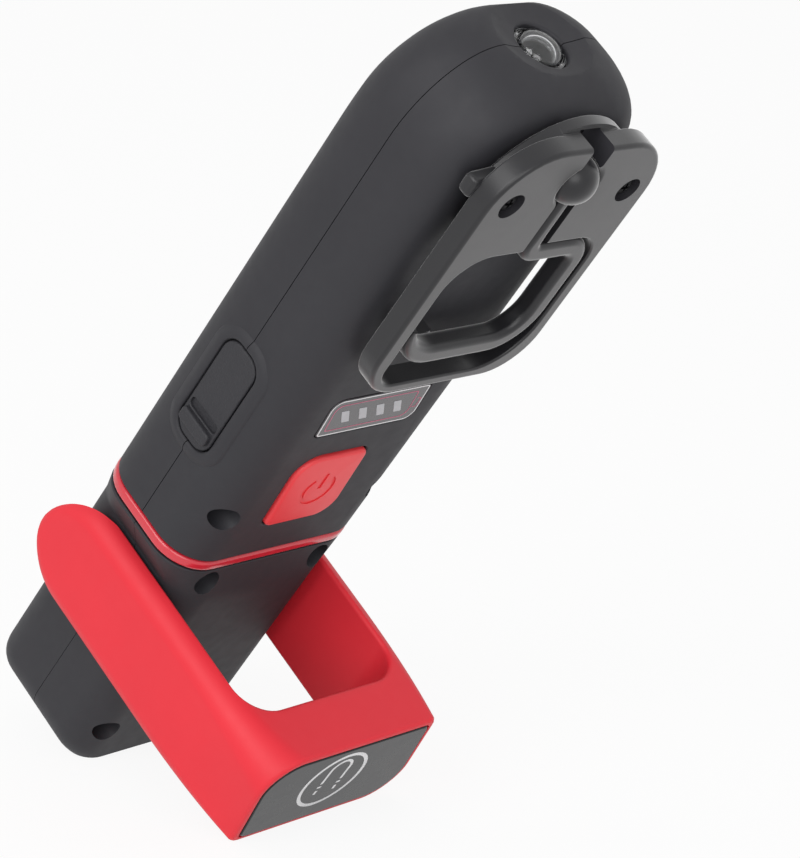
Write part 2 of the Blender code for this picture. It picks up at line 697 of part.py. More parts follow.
def controls():
    flange = REAR_INNER - GAP - BUTTON_FLANGE
    rings = [lifted(button_outline(0), "Y", REAR + BUTTON_PROUD)]
    rings += [lifted(button_outline(0), "Y", REAR_INNER - GAP)]
    rings += [lifted(button_outline(BUTTON_FLANGE), "Y", REAR_INNER - GAP)]
    rings += [lifted(button_outline(BUTTON_FLANGE), "Y", flange)]
    button = loft("power_button", rings, "red_rubber")
    set_origin(button, Vector((CONTROL_SHIFT, REAR, BUTTON_CENTRE)))

    back = panel_back()
    prism("battery_panel", panel_outline(0), "Y", back, back + PANEL_THICKNESS, "panel_grey")
    for index in range(4):
        x = CONTROL_SHIFT + (1.5 - index) * LED_PITCH
        low = (x - LED_WIDTH / 2, PCB_REAR + GAP, PANEL_CENTRE - LED_HEIGHT / 2)
        high = (x + LED_WIDTH / 2, back - GAP, PANEL_CENTRE + LED_HEIGHT / 2)
        block("indicator_led_" + str(index + 1), low, high, "chip_white")

    half_x = PCB_WIDTH / 2
    half_z = PCB_LENGTH / 2
    low = (-half_x, PCB_Y, PCB_CENTRE - half_z)
    block("main_board", low, (half_x, PCB_REAR, PCB_CENTRE + half_z), "board")

    half = SWITCH_SIZE / 2
    base = PCB_REAR + GAP
    top = base + SWITCH_HEIGHT
    low = (CONTROL_SHIFT - half, base, BUTTON_CENTRE - half)
    high = (CONTROL_SHIFT + half, top, BUTTON_CENTRE + half)
    body = block("tact_switch", low, high, "steel")
    place = Vector((CONTROL_SHIFT, 0, BUTTON_CENTRE))
    floor = base + SWITCH_HEIGHT / 5
    boolean(body, rod("plunger_bore", "Y", place, PLUNGER_RADIUS + GAP, floor, top + WALL))
    low = floor + BUTTON_TRAVEL + GAP
    profile = [(0, flange - GAP), (PLUNGER_RADIUS, flange - GAP), (PLUNGER_RADIUS, low), (0, low)]
    turned("switch_plunger", profile, "Y", place, "red_rubber")

    outer = head_half_width(USB_CENTRE)
    low = outer - USB_DEPTH + GAP
    flap = prism("usb_cover", flap_outline(0), "X", low, outer + USB_PROUD, "soft_black")
    set_origin(flap, Vector((outer + USB_PROUD, 0, USB_CENTRE + USB_LENGTH / 2)))

    end = outer - WALL + GAP
    high = Vector((end, PCB_Y - GAP, USB_CENTRE + PORT_LENGTH / 2))
    low = Vector((end - PORT_DEPTH, PCB_Y - GAP - PORT_HEIGHT, USB_CENTRE - PORT_LENGTH / 2))
    socket = block("usb_socket", low, high, "steel")
    skin = Vector((WALL / 4, WALL / 4, WALL / 4))
    mouth = high - skin
    mouth.x = end + WALL
    boolean(socket, block("usb_socket_mouth", low + skin * 4, mouth))


# Lower block

def grip_ring(height):
    half_x = HALF_GRIP - drawn_in(GRIP_FOOT - height, GRIP_FOOT, GRIP_FOOT, GRIP_FOOT)
    half_y = GRIP_DEPTH / 2
    radius = GRIP_CORNER
    if height > FLARE_BASE:
        share = min((height - FLARE_BASE) / (FLARE_TOP - FLARE_BASE), 1.0)
        half_x += (HALF_BODY - HALF_GRIP) * share
        half_y += (HALF_DEPTH - half_y) * share
        radius += (EDGE_RADIUS - radius) * share
    return lifted(rounded_rect(half_x, half_y, radius), "Z", height)


def grip_solid(name):
    """Outside of the block, with the neck and its flange that lock into the head."""
    heights = [GRIP_FOOT * (1 - math.cos(math.pi / 2 * step / 4)) for step in range(5)]
    heights += [FLARE_BASE, FLARE_TOP, GRIP_HEIGHT]
    rings = [grip_ring(height) for height in heights]
    flange = HEAD_FLOOR + GAP
    for grow, height in ((0, GRIP_HEIGHT), (0, flange), (1, flange), (1, flange + NECK_FLANGE_HEIGHT)):
        half_x = NECK_HALF_X + grow * NECK_FLANGE
        half_y = NECK_HALF_Y + grow * NECK_FLANGE / 2
        rings.append(lifted(rounded_rect(half_x, half_y, NECK_HALF_Y / 2), "Z", height))
    return loft(name, rings, "soft_black")


def grip_screw_places():
    places = []
    for z in (GRIP_HEIGHT - GRIP_SCREW_TOP, GRIP_SCREW_LOW):
        for sign in (1, -1):
            places.append((sign * GRIP_SCREW_X, z))
    return places


def grip_seat():
    return HALF_DEPTH - SCREW_SEAT


def crown_space(name):
    """All space inside the block's rounded underside, which the stand swings round."""
    arc = []
    for step in range(ROUND_STEPS // 2 + 1):
        angle = math.radians(-35 + 70 * step / (ROUND_STEPS // 2))
        arc.append(Vector((PIVOT_Z * math.sin(angle), PIVOT_Z - PIVOT_Z * math.cos(angle))))
    outline = arc + [Vector((arc[-1].x, FAR)), Vector((arc[0].x, FAR))]
    return prism(name, outline, "X", -FAR, FAR)


def grip_casing():
    inner_x = HALF_GRIP - WALL
    inner_y = GRIP_DEPTH / 2 - WALL
    middle = Vector((0, 0, 0))
    cavity_top = FLARE_BASE
    contact_low = CELL_FLOOR - 2 * GAP - CONTACT_THICKNESS
    cell_bore = rod("cell_bore", "Z", middle, CELL_RADIUS + GAP, contact_low, FAR * 2, ROUND_STEPS)
    lead_bore = rod("lead_bore", "Z", Vector((LEAD_X, 0, 0)), LEAD_RADIUS + 2 * GAP, contact_low, FAR * 2)
    tab = CONTACT_THICKNESS / 2 + GAP
    tab_end = LEAD_X + LEAD_RADIUS + GAP
    tab_slot = block("tab_slot", (0, -3 * tab, contact_low), (tab_end, 3 * tab, CELL_FLOOR))
    pin_bores = []
    pin_bosses = []
    for side, sign in (("left", 1), ("right", -1)):
        low, high = sorted((sign * pin_inner(), sign * FAR))
        pin_bosses.append(rod("pin_boss_" + side, "X", PIVOT, WASHER_RADIUS, low, high))
        low, high = sorted((sign * (pin_inner() - WALL), sign * FAR))
        pin_bores.append(rod("pin_bore_" + side, "X", PIVOT, PIN_RADIUS + GAP, low, high))
        low, high = sorted((sign * (HALF_GRIP - WASHER_THICKNESS), sign * FAR))
        pin_bores.append(rod("washer_seat_" + side, "X", PIVOT, WASHER_RADIUS + GAP, low, high))

    for name, front in (("grip_front", True), ("grip_rear", False)):
        cavity = prism(name + "_cavity", rounded_rect(inner_x, inner_y, GRIP_CORNER - WALL), "Z",
                       CELL_FLOOR, cavity_top)
        for index, height in enumerate((PIVOT_Z * 0.45, PIVOT_Z * 0.72)):
            low = (-FAR, -FAR, height - RIB_THICKNESS / 2)
            high = (FAR, FAR, height + RIB_THICKNESS / 2)
            boolean(cavity, block(name + "_rib_" + str(index), low, high))
        cut_all(cavity, pin_bosses)
        holes = []
        for index, (x, z) in enumerate(grip_screw_places()):
            place = Vector((x, 0, z))
            boolean(cavity, rod(name + "_boss_" + str(index), "Y", place, SCREW_BOSS, -FAR, FAR))
            depth = grip_seat() - GRIP_SCREW_LENGTH
            holes.append(rod(name + "_hole_" + str(index), "Y", place, BOSS_HOLE, depth, grip_seat() + GAP))
            holes.append(rod(name + "_seat_" + str(index), "Y", place, SEAT_HOLE, grip_seat(), FAR))
        grip = grip_solid(name)
        boolean(grip, crown_space(name + "_crown"), "INTERSECT")
        boolean(grip, half_space(name + "_half", front), "INTERSECT")
        boolean(grip, cavity)
        cut_all(grip, [cell_bore, lead_bore, tab_slot] + pin_bores + holes)


def battery():
    middle = Vector((0, 0, 0))
    button = CELL_TOP
    can = button - CONTACT_THICKNESS
    chamfer = CELL_RADIUS / 12
    profile = [(0, button), (CELL_RADIUS / 3, button), (CELL_RADIUS / 3, can), (CELL_RADIUS - chamfer, can)]
    profile += [(CELL_RADIUS, can - chamfer), (CELL_RADIUS, CELL_FLOOR + chamfer)]
    profile += [(CELL_RADIUS - chamfer, CELL_FLOOR), (0, CELL_FLOOR)]
    turned("battery_cell", profile, "Z", middle, "cell_wrap", ROUND_STEPS)

    low = CELL_FLOOR - GAP - CONTACT_THICKNESS
    outline = rounded_rect(CELL_RADIUS * 0.8, CELL_RADIUS * 0.4, CELL_RADIUS / 4)
    tab = [(LEAD_X + LEAD_RADIUS, CONTACT_THICKNESS), (0, CONTACT_THICKNESS), (0, -CONTACT_THICKNESS)]
    tab.append((LEAD_X + LEAD_RADIUS, -CONTACT_THICKNESS))
    bottom = prism("cell_contact_bottom", outline, "Z", low, low + CONTACT_THICKNESS, "steel")
    boolean(bottom, prism("contact_tab", tab, "Z", low, low + CONTACT_THICKNESS), "UNION")
    low = CELL_TOP + GAP
    prism("cell_contact_top", outline, "Z", low, low + CONTACT_THICKNESS, "steel")


def lead(name, points, material):
    """Thin wire along a smooth run of points."""
    curve = bpy.data.curves.new(name, "CURVE")
    curve.dimensions = "3D"
    curve.bevel_depth = LEAD_RADIUS
    curve.bevel_resolution = 2
    curve.use_fill_caps = True
    spline = curve.splines.new("POLY")
    spline.points.add(len(points) - 1)
    for point, place in zip(spline.points, points):
        point.co = (*place, 1.0)
    item = bpy.data.objects.new(name, curve)
    curve.materials.append(MATERIALS[material])
    PARTS.objects.link(item)


def ease(start, end, count):
    """Points from start to end that leave and arrive along Z."""
    points = []
    for step in range(count + 1):
        share = step / count
        bend = share * share * (3 - 2 * share)
        points.append(Vector((start.x + (end.x - start.x) * bend, start.y + (end.y - start.y) * bend,
                              start.z + (end.z - start.z) * share)))
    return points


def leads():
    """The cell's wires, up through the neck to the lower edge of the board."""
    board = PCB_CENTRE - PCB_LENGTH / 2 - GAP
    board_y = PCB_Y + PCB_THICKNESS / 2
    rise = HEAD_FLOOR + GAP + NECK_FLANGE_HEIGHT
    start = Vector((LEAD_X, 0, CELL_FLOOR))
    straight = Vector((LEAD_X, 0, rise))
    top = Vector((LEAD_X, board_y, board))
    lead("battery_lead_minus", [start] + ease(straight, top, 6), "lead_black")
    start = Vector((-CELL_RADIUS / 2, 0, CELL_TOP + 2 * GAP + CONTACT_THICKNESS))
    lead("battery_lead_plus", ease(start, Vector((-LEAD_X, board_y, board)), 8), "lead_red")


# Swinging stand, modelled square to the body

def pin_inner():
    """Where the pivot pin's head sits, inside the block's wall."""
    return HALF_GRIP - WASHER_THICKNESS - PIN_BOSS


def bail_section(reach, inset=0.0):
    """Outline of the stand's outside in X and Z at a distance from the pivot."""
    half_x = HALF_BODY - inset
    half_z = ARM_HALF - inset
    centre = ARM_HALF - ARM_TIP
    if reach < centre:
        half_z = math.sqrt(max(ARM_HALF ** 2 - (centre - reach) ** 2, (0.15 * ARM_HALF) ** 2))
    start = TIP_EDGE - ARM_TIP
    if reach < start:
        dip = min(start - reach, TIP_EDGE * 0.98)
        half_x -= TIP_EDGE - math.sqrt(TIP_EDGE ** 2 - dip ** 2)
    share = max((reach - (BAIL_REACH - LEAF_RUN)) / LEAF_RUN, 0.0)
    share = min(share, 1.0) ** 2
    edge = min(ARM_EDGE, half_z * 0.9)
    large = edge + (LEAF_ROUND - edge) * share
    small = edge + (LEAF_SHARP - edge) * share
    shear = LEAF_SHEAR * share
    corners = [(half_x, half_z, large), (shear - half_x, half_z, small)]
    corners += [(-half_x, -half_z, large), (half_x - shear, -half_z, small)]
    return shifted(fillet(corners), 0, PIVOT_Z)


def stand():
    centre = ARM_HALF - ARM_TIP
    reaches = []
    for step in range(1, 7):
        reaches.append(centre - ARM_HALF * math.cos(math.pi / 2 * step / 6) * 0.995)
    reaches += [BAIL_REACH - LEAF_RUN]
    for step in range(1, 5):
        reaches.append(BAIL_REACH - LEAF_RUN + (LEAF_RUN - LEAF_SHARP / 2) * step / 4)
    rings = [lifted(bail_section(reach), "Y", reach) for reach in reaches]
    rings.append(lifted(bail_section(BAIL_REACH, LEAF_SHARP / 2), "Y", BAIL_REACH))
    bail = loft("bail", rings, "red_rubber")

    window = fillet([(ARM_INNER, -FAR, GAP), (ARM_INNER, BAR_INNER, BAIL_CORNER),
                     (-ARM_INNER, BAR_INNER, BAIL_CORNER), (-ARM_INNER, -FAR, GAP)])
    boolean(bail, prism("bail_window", window, "Z", -FAR, FAR))
    slope = (HALF_BODY - HALF_GRIP) / SHOULDER_RISE
    for side, sign in (("left", 1), ("right", -1)):
        near = FLARE_BASE - PIVOT_Z - GAP
        far = ARM_TIP + WALL
        cone = [(far, -WALL), (far, (far - near) * slope + BAIL_GAP), (near, BAIL_GAP), (near, -WALL)]
        if sign > 0:
            cone = [(radius, height) for radius, height in reversed(cone)]
        cone = [(radius, sign * (HALF_GRIP + height)) for radius, height in cone]
        taper = turned("arm_taper_" + side, cone, "X", PIVOT, steps=2 * ROUND_STEPS, ring=True)
        boolean(taper, block("arm_end_" + side, (-FAR, -FAR, -FAR), (FAR, 0, FAR)), "INTERSECT")
        boolean(bail, taper)
        low, high = sorted((sign * HALF_GRIP, sign * (ARM_INNER + PIN_DEPTH + GAP)))
        boolean(bail, rod("arm_bore_" + side, "X", PIVOT, PIN_RADIUS + GAP, low, high))

        inner = pin_inner() - GAP
        profile = [(0, inner - PIN_HEAD), (PIN_HEAD_RADIUS, inner - PIN_HEAD), (PIN_HEAD_RADIUS, inner)]
        profile += [(PIN_RADIUS, inner), (PIN_RADIUS, ARM_INNER + PIN_DEPTH), (0, ARM_INNER + PIN_DEPTH)]
        outward = [(radius, sign * height) for radius, height in profile]
        turned("pivot_pin_" + side, outward if sign < 0 else outward[::-1], "X", PIVOT, "steel")
        face = HALF_GRIP - WASHER_THICKNESS + GAP
        top = HALF_GRIP + GAP / 2
        bore = PIN_RADIUS + GAP
        ring = [(WASHER_RADIUS, top), (WASHER_RADIUS, face), (bore, face), (bore, top)]
        ring = [(radius, sign * height) for radius, height in ring]
        turned("friction_washer_" + side, ring if sign > 0 else ring[::-1], "X", PIVOT, "steel", ring=True)

    seat = BAIL_REACH + COVER_PROUD - COVER_THICKNESS
    recess = prism("cover_recess", bail_section(BAIL_REACH, RIM), "Y", seat - GAP, FAR)
    magnet_floor = seat - 2 * GAP - MAGNET_THICKNESS
    half = Vector((MAGNET_WIDTH / 2, 0, MAGNET_HEIGHT / 2))
    grown = half + Vector((GAP, 0, GAP))
    pocket = block("magnet_pocket", PIVOT - grown + Vector((0, magnet_floor - GAP, 0)),
                   PIVOT + grown + Vector((0, BAIL_REACH, 0)))
    cut_all(bail, [recess, pocket])
    set_origin(bail, PIVOT)

    outline = bail_section(BAIL_REACH, RIM + GAP)
    cover = prism("magnet_cover", outline, "Y", seat, seat + COVER_THICKNESS, "cover_grey")
    set_origin(cover, PIVOT)
    magnet = block("magnet", PIVOT - half + Vector((0, magnet_floor, 0)),
                   PIVOT + half + Vector((0, seat - GAP, 0)), "steel")
    set_origin(magnet, PIVOT)


# Hanger on the rear

def hook_path():
    """Corners of the folded hook's middle line in X and Z, measured from its ball."""
    right = HOOK_BAR / 2 - HOOK_RIGHT
    left = HOOK_LEFT - HOOK_BAR / 2
    low = HOOK_BAR / 2 - HOOK_REACH
    return [(0, 0, 0), (0, -HOOK_NECK, HOOK_BAR * 0.6), (right, -HOOK_NECK, HOOK_BAR),
            (right, low, HOOK_BAR * 1.2), (left, low, HOOK_BAR * 1.8), (left, -HOOK_TIP, 0)]


def ribbon(points, half):
    """Outline of a bar of constant width along a path."""
    left = []
    right = []
    for index, point in enumerate(points):
        along = points[min(index + 1, len(points) - 1)] - points[max(index - 1, 0)]
        along.normalize()
        across = Vector((-along.y, along.x)) * half
        left.append(point + across)
        right.append(point - across)
    return left + right[::-1]


def lug_outline(sign):
    """Short arc round one upper corner of the plate."""
    across = PLATE_WIDTH / 2 - PLATE_UPPER_ROUND
    height = PLATE_TOP_Z - PLATE_UPPER_ROUND
    reach = PLATE_UPPER_ROUND + LUG_PROUD
    angles = [LUG_LENGTH / reach * step / CORNER_STEPS for step in range(CORNER_STEPS + 1)]
    rim = [(across + reach * math.cos(angle), height + reach * math.sin(angle)) for angle in angles]
    root = PLATE_UPPER_ROUND / 2
    foot = [(across + root * math.cos(angle), height + root * math.sin(angle)) for angle in angles]
    return [Vector((sign * a, b)) for a, b in rim + foot[::-1]]


def hanger():
    half = PLATE_WIDTH / 2
    bottom = PLATE_TOP_Z - PLATE_LENGTH
    outline = fillet([(half, PLATE_TOP_Z, PLATE_UPPER_ROUND), (-half, PLATE_TOP_Z, PLATE_UPPER_ROUND),
                      (-half, bottom, PLATE_LOWER_ROUND), (half, bottom, PLATE_LOWER_ROUND)])
    plate = prism("hook_plate", outline, "Y", PLATE_BACK, PLATE_FACE, "satin_grey")
    middle = Vector((0, 0, HEAD_TOP - TIER_DROP))
    tier = rod("plate_tier", "Y", middle, TIER_RADIUS, REAR + GAP, PLATE_BACK + WALL, 2 * ROUND_STEPS)
    boolean(plate, tier, "UNION")
    for side, sign in (("left", 1), ("right", -1)):
        lug = prism("plate_lug_" + side, lug_outline(sign), "Y", REAR + GAP, PLATE_BACK + WALL / 2)
        boolean(plate, lug, "UNION")

    clear = HOOK_BAR / 2 + HOOK_SLACK
    right = -HOOK_RIGHT - HOOK_SLACK
    upper = BALL.z - HOOK_NECK + clear
    opening = fillet([(right, upper, HOOK_BAR * 1.5),
                      (right, BALL.z - OPENING_BOTTOM, PLATE_LOWER_ROUND * 0.7),
                      (OPENING_LEFT, BALL.z - OPENING_BOTTOM, PLATE_LOWER_ROUND * 0.5),
                      (OPENING_LEFT, BALL.z - OPENING_TOP, HOOK_BAR * 1.8),
                      (clear, BALL.z - OPENING_TOP, GAP), (clear, upper, GAP)])
    window = prism("plate_window", opening, "Y", PLATE_BACK - WALL, FAR)
    floor = BALL.y - HOOK_THICKNESS / 2 - GAP
    neck = BALL.z - HOOK_NECK - HOOK_BAR
    channel = block("neck_channel", (-clear, floor, neck), (clear, FAR, HEAD_TOP + FAR))
    socket = ball_solid("ball_socket", BALL_RADIUS + GAP)
    cut_all(plate, [window, channel, socket])
    for side, sign in (("left", 1), ("right", -1)):
        place = Vector((sign * PLATE_SCREW_X, 0, PLATE_SCREW_Z))
        seat = PLATE_FACE - PLATE_THICKNESS / 2
        boolean(plate, rod("plate_hole_" + side, "Y", place, BOSS_HOLE, 0, FAR))
        boolean(plate, rod("plate_seat_" + side, "Y", place, SEAT_HOLE, seat, FAR))

    path = fillet(hook_path(), closed=False)
    bar = shifted(ribbon(path, HOOK_BAR / 2), 0, BALL.z)
    back = BALL.y - HOOK_THICKNESS / 2
    hook = prism("hook", bar, "Y", back, back + HOOK_THICKNESS, "satin_grey")
    set_origin(hook, BALL)
    boolean(hook, ball_solid("hook_ball", BALL_RADIUS), "UNION")


def ball_solid(name, radius):
    bm = bmesh.new()
    bmesh.ops.create_uvsphere(bm, u_segments=ROUND_STEPS, v_segments=SMALL_STEPS, radius=radius)
    ball = finish_mesh(name, bm, None)
    ball.location = BALL
    return ball


# Standing the light on its stand

def side_points(name, graph):
    """Every point of a finished piece, as seen from the side."""
    item = PARTS.objects[name].evaluated_get(graph)
    mesh = item.to_mesh()
    points = [item.matrix_world @ vertex.co for vertex in mesh.vertices]
    item.to_mesh_clear()
    return points


def lowest(points, lean):
    return min(point.z * math.cos(lean) - point.y * math.sin(lean) for point in points)


def stance_lean(foot, toe):
    """The lean at which the block's heel and the stand's toe touch the floor together."""
    low = 0.0
    high = math.radians(80)
    for _ in range(40):
        middle = (low + high) / 2
        if lowest(toe, middle) > lowest(foot, middle):
            low = middle
        else:
            high = middle
    return low


def lean_over():
    """Parents the pieces to an empty, which leans them over with the floor at the origin."""
    bpy.context.view_layer.update()
    graph = bpy.context.evaluated_depsgraph_get()
    clouds = {item.name: side_points(item.name, graph) for item in PARTS.objects}
    foot = clouds["grip_rear"] + clouds["grip_front"]
    toe = clouds["bail"] + clouds["magnet_cover"]
    lean = stance_lean(foot, toe)
    turn = Matrix.Rotation(-lean, 4, "X")
    turned_points = [turn @ point for cloud in clouds.values() for point in cloud]
    low = Vector([min(point[axis] for point in turned_points) for axis in range(3)])
    high = Vector([max(point[axis] for point in turned_points) for axis in range(3)])
    stance = bpy.data.objects.new("stance", None)
    PARTS.objects.link(stance)
    stance.rotation_euler = (-lean, 0, 0)
    stance.location = (-(low.x + high.x) / 2, -(low.y + high.y) / 2, -low.z)
    for item in list(PARTS.objects) + list(CUTTERS.objects):
        if item is not stance:
            item.parent = stance


head_casing()
band()
grip_casing()
battery()
leads()
main_light()
torch()
controls()
stand()
hanger()
screws()
lean_over()
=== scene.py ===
"""Looks of the work light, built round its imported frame.

The visible pieces are modelled upright, with the long axis on Z, the main light facing -Y and the
controls facing +Y, and are then leaned over with the frame. Left is +X, as seen from behind.
"""
import json
import math

import bmesh
import bpy
from mathutils import Matrix, Vector


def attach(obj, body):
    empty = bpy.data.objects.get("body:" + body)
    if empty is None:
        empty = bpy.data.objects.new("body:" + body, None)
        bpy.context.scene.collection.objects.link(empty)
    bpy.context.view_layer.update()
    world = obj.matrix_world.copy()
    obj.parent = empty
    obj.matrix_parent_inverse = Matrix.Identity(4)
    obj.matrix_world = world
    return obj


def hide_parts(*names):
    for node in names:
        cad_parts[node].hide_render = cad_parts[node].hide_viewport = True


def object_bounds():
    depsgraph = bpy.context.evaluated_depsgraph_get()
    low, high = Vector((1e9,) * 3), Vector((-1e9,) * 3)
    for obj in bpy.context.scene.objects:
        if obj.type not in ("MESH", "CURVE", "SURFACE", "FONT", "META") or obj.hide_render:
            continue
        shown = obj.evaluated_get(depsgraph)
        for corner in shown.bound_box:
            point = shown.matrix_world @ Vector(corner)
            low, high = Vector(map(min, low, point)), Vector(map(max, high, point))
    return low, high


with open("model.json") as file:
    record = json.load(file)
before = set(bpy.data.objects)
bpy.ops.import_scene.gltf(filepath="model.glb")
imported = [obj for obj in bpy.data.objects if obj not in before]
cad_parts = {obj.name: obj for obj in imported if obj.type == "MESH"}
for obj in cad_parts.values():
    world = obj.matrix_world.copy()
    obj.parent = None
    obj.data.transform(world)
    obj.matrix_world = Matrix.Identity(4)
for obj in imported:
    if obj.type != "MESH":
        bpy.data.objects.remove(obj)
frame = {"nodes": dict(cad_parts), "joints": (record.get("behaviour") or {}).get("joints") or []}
CAD_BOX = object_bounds()

MM = 0.001

# Clearances and walls
GAP = 0.3 * MM
WALL = 2.2 * MM
SPLIT = 0.18 * MM
GRIP_SPLIT = 0.12 * MM
CLEAR = 12.0 * MM
FAR = 200.0 * MM
TINY = 0.001 * MM

# Lower block
GRIP_DEPTH = 34.6 * MM
GRIP_HEIGHT = 67.1 * MM
GRIP_CORNER = 7.5 * MM
GRIP_FOOT = 8.5 * MM
SHOULDER_RISE = 8.0 * MM
CELL_RADIUS = 9.5 * MM
CELL_FLOOR = 4.8 * MM
UNDER_ANGLE = 35.0

# Head
BODY_WIDTH = 54.0 * MM
HEAD_WIDTH = 55.0 * MM
BODY_DEPTH = 31.6 * MM
EDGE_RADIUS = 9.8 * MM
CROWN_RISE = 22.4 * MM
CROWN_DRAW = 16.5 * MM
FRONT_RISE = 30.6 * MM
FRONT_DRAW = 6.1 * MM
TOP_EDGE = 11.0 * MM
SEAM_EDGE = 0.45 * MM
BAND_PROUD = 0.12 * MM
BAND_EDGE = 0.8 * MM
# Largest share of a half width that its rounded edges take up
FULL_ROUND = 0.98
END_ROUND = 0.999
NECK_HALF_X = 20.3 * MM
NECK_HALF_Y = 11.4 * MM

# Swinging stand
PIVOT_Z = 45.0 * MM
ARM_WIDTH = 26.8 * MM
ARM_THICKNESS = 4.75 * MM
ARM_TIP = 20.8 * MM
ARM_START = 4.0
ARM_BLUNT = 0.06
ARM_EDGE = 4.6 * MM
ARM_EDGE_SHARE = 0.9
TIP_EDGE = 2.2 * MM
BAIL_REACH = 59.3 * MM
BAIL_GAP = 0.5 * MM
BAR_CLEARANCE = 1.2 * MM
BAIL_CORNER = 8.0 * MM
BAIL_LIP = 1.0 * MM
LEAF_SHEAR = 4.6 * MM
LEAF_ROUND = 9.0 * MM
LEAF_SHARP = 1.8 * MM
LEAF_RUN = 32.0 * MM
RIM = 1.3 * MM
COVER_THICKNESS = 1.9 * MM
COVER_PROUD = 0.2 * MM
COVER_EDGE = 0.35 * MM
PIN_BORE = 2.8 * MM
PIN_DEPTH = 2.9 * MM
WASHER_SEAT = 6.3 * MM
WASHER_DEPTH = 1.1 * MM
PRINT = 0.03 * MM
BADGE_RADIUS = 8.9 * MM
BADGE_LINE = 0.95 * MM
BADGE_SHIFT = 2.0 * MM
BADGE_RISE = 1.5 * MM
ARCH_RADIUS = 2.85 * MM
ARCH_LINE = 0.75 * MM
ARCH_CENTRE = 3.7 * MM
ARCH_FOOT = 0.6 * MM
# Marks under each foot of the arch: drop, half width and half height in line widths
ARCH_MARKS = ((1.5, 0.8, 0.4), (4.0, 0.5, 0.9))

# Main light
LIGHT_Z = 70.5 * MM
REFLECTOR_WIDTH = 28.4 * MM
REFLECTOR_LENGTH = 82.0 * MM
REFLECTOR_RIM = 1.0 * MM
REFLECTOR_DISH = 2.3 * MM
REFLECTOR_CURVE = 1.2
LIGHT_LIP = 0.4 * MM
WINDOW_EDGE = 0.25 * MM
STRIP_WIDTH = 11.8 * MM
STRIP_LENGTH = 66.0 * MM
STRIP_EDGE = 0.2 * MM
CHIP_COUNT = 17
CHIP_RADIUS = 0.9 * MM
CHIP_RISE = 0.22 * MM
CHIP_MARGIN = 0.6
CONTOUR_WIDTH = 35.5 * MM
CONTOUR_FOOT = 6.7 * MM
CONTOUR_DEPTH = 0.5 * MM
# Edge of the contour: inset in mm and share of its depth
CONTOUR_EDGE = ((1.6, 0.0), (0.7, 0.12), (0.2, 0.4), (0.0, 1.0))

# End torch
TORCH_RADIUS = 6.3 * MM
TORCH_DOME = 5.6 * MM
TORCH_COLLAR = 2.2 * MM
TORCH_LIP = 2.2 * MM
TORCH_THROAT = 2.3 * MM
TORCH_STEP = 0.4 * MM
TORCH_BULGE = 0.86
TORCH_RISE = 0.5 * MM
LENS_WALL = 0.8 * MM
LENS_GROOVE = 0.9
LENS_RIDGE = 0.93
MOUTH_ROUND = 0.7 * MM
DISH_RADIUS = 11.5 * MM
DISH_DEPTH = 1.5 * MM
TORCH_FACETS = 10

# Controls
CONTROL_SHIFT = 1.9 * MM
BUTTON_WIDTH = 20.8 * MM
BUTTON_HEIGHT = 20.4 * MM
BUTTON_EDGE = 0.8 * MM
BUTTON_CROWN = 0.25 * MM
BUTTON_LIP = 0.5 * MM
SYMBOL_RADIUS = 4.0 * MM
SYMBOL_LINE = 1.0 * MM
SYMBOL_DEPTH = 0.35 * MM
SYMBOL_GAP = 38.0
STROKE_FOOT = 0.1
STROKE_TOP = 1.25
PANEL_WIDTH = 29.4 * MM
PANEL_HEIGHT = 10.8 * MM
PANEL_LEDGE = 1.5 * MM
PANEL_LINE = 0.3 * MM
PANEL_LIP = 0.25 * MM
PANEL_EDGE = 0.2 * MM
GAUGE_INSET = 1.5 * MM
GAUGE_LINE = 0.25 * MM
GAUGE_NUB = 1.2 * MM
GAUGE_WIDTH = 2.2 * MM
GAUGE_HEIGHT = 3.6 * MM
GAUGE_LEAN = 0.6
GAUGE_SHIFT = -1.1 * MM
USB_WIDTH = 10.4 * MM
USB_LENGTH = 26.0 * MM
USB_DEPTH = 1.5 * MM
USB_ROUND = 3.7 * MM
USB_RIM = 3.2 * MM
USB_RIM_RISE = 0.75 * MM
# Swelling of the rim, from outside in: shares of its width and of its rise
USB_RIM_SHAPE = ((1.1, -0.6), (1.02, -0.05), (0.94, 0.12), (0.82, 0.4), (0.68, 0.72),
                 (0.52, 0.93), (0.38, 1.0), (0.26, 0.95), (0.18, 0.78), (0.12, 0.45))
FLAP_EDGE = 0.5 * MM
TAB_DROP = 8.8 * MM
TAB_HEIGHT = 3.2 * MM
TAB_RISE = 1.25 * MM
TAB_GROOVE = 0.7 * MM
TAB_SHARE = 0.88
TAB_ROUND = 0.3
TAB_DRAFT = 0.4
GROOVE_SHARE = 0.86
GROOVE_HALF = 0.35
GROOVE_RISE = 0.95
GROOVE_LIP = 0.3 * MM
PORT_LENGTH = 7.5 * MM
PORT_HEIGHT = 2.7 * MM

# Hanger on the rear
PLATE_MARGIN = 3.2 * MM
PLATE_LENGTH = 65.0 * MM
PLATE_TOP = 5.0 * MM
PLATE_UPPER_ROUND = 14.0 * MM
PLATE_LOWER_ROUND = 11.0 * MM
PLATE_EDGE = 0.9 * MM
PLATE_THICKNESS = 4.8 * MM
TIER_RADIUS = 21.0 * MM
TIER_DROP = 24.4 * MM
TIER_WALL = 1.2 * MM
TIER_CUT = 17.0
TIER_STEM = 17.0 * MM
TIER_STEM_HEIGHT = 13.5 * MM
LUG_PROUD = 0.9 * MM
LUG_LENGTH = 8.0 * MM
LUG_SLOPE = 0.14
LUG_DROP = 10.1 * MM
LUG_HEIGHT = 4.3 * MM
LUG_EDGE = 0.9 * MM
SOCKET_LIP = 1.2 * MM
BALL_RADIUS = 5.2 * MM
HOOK_BAR = 4.8 * MM
HOOK_EDGE = 1.5 * MM
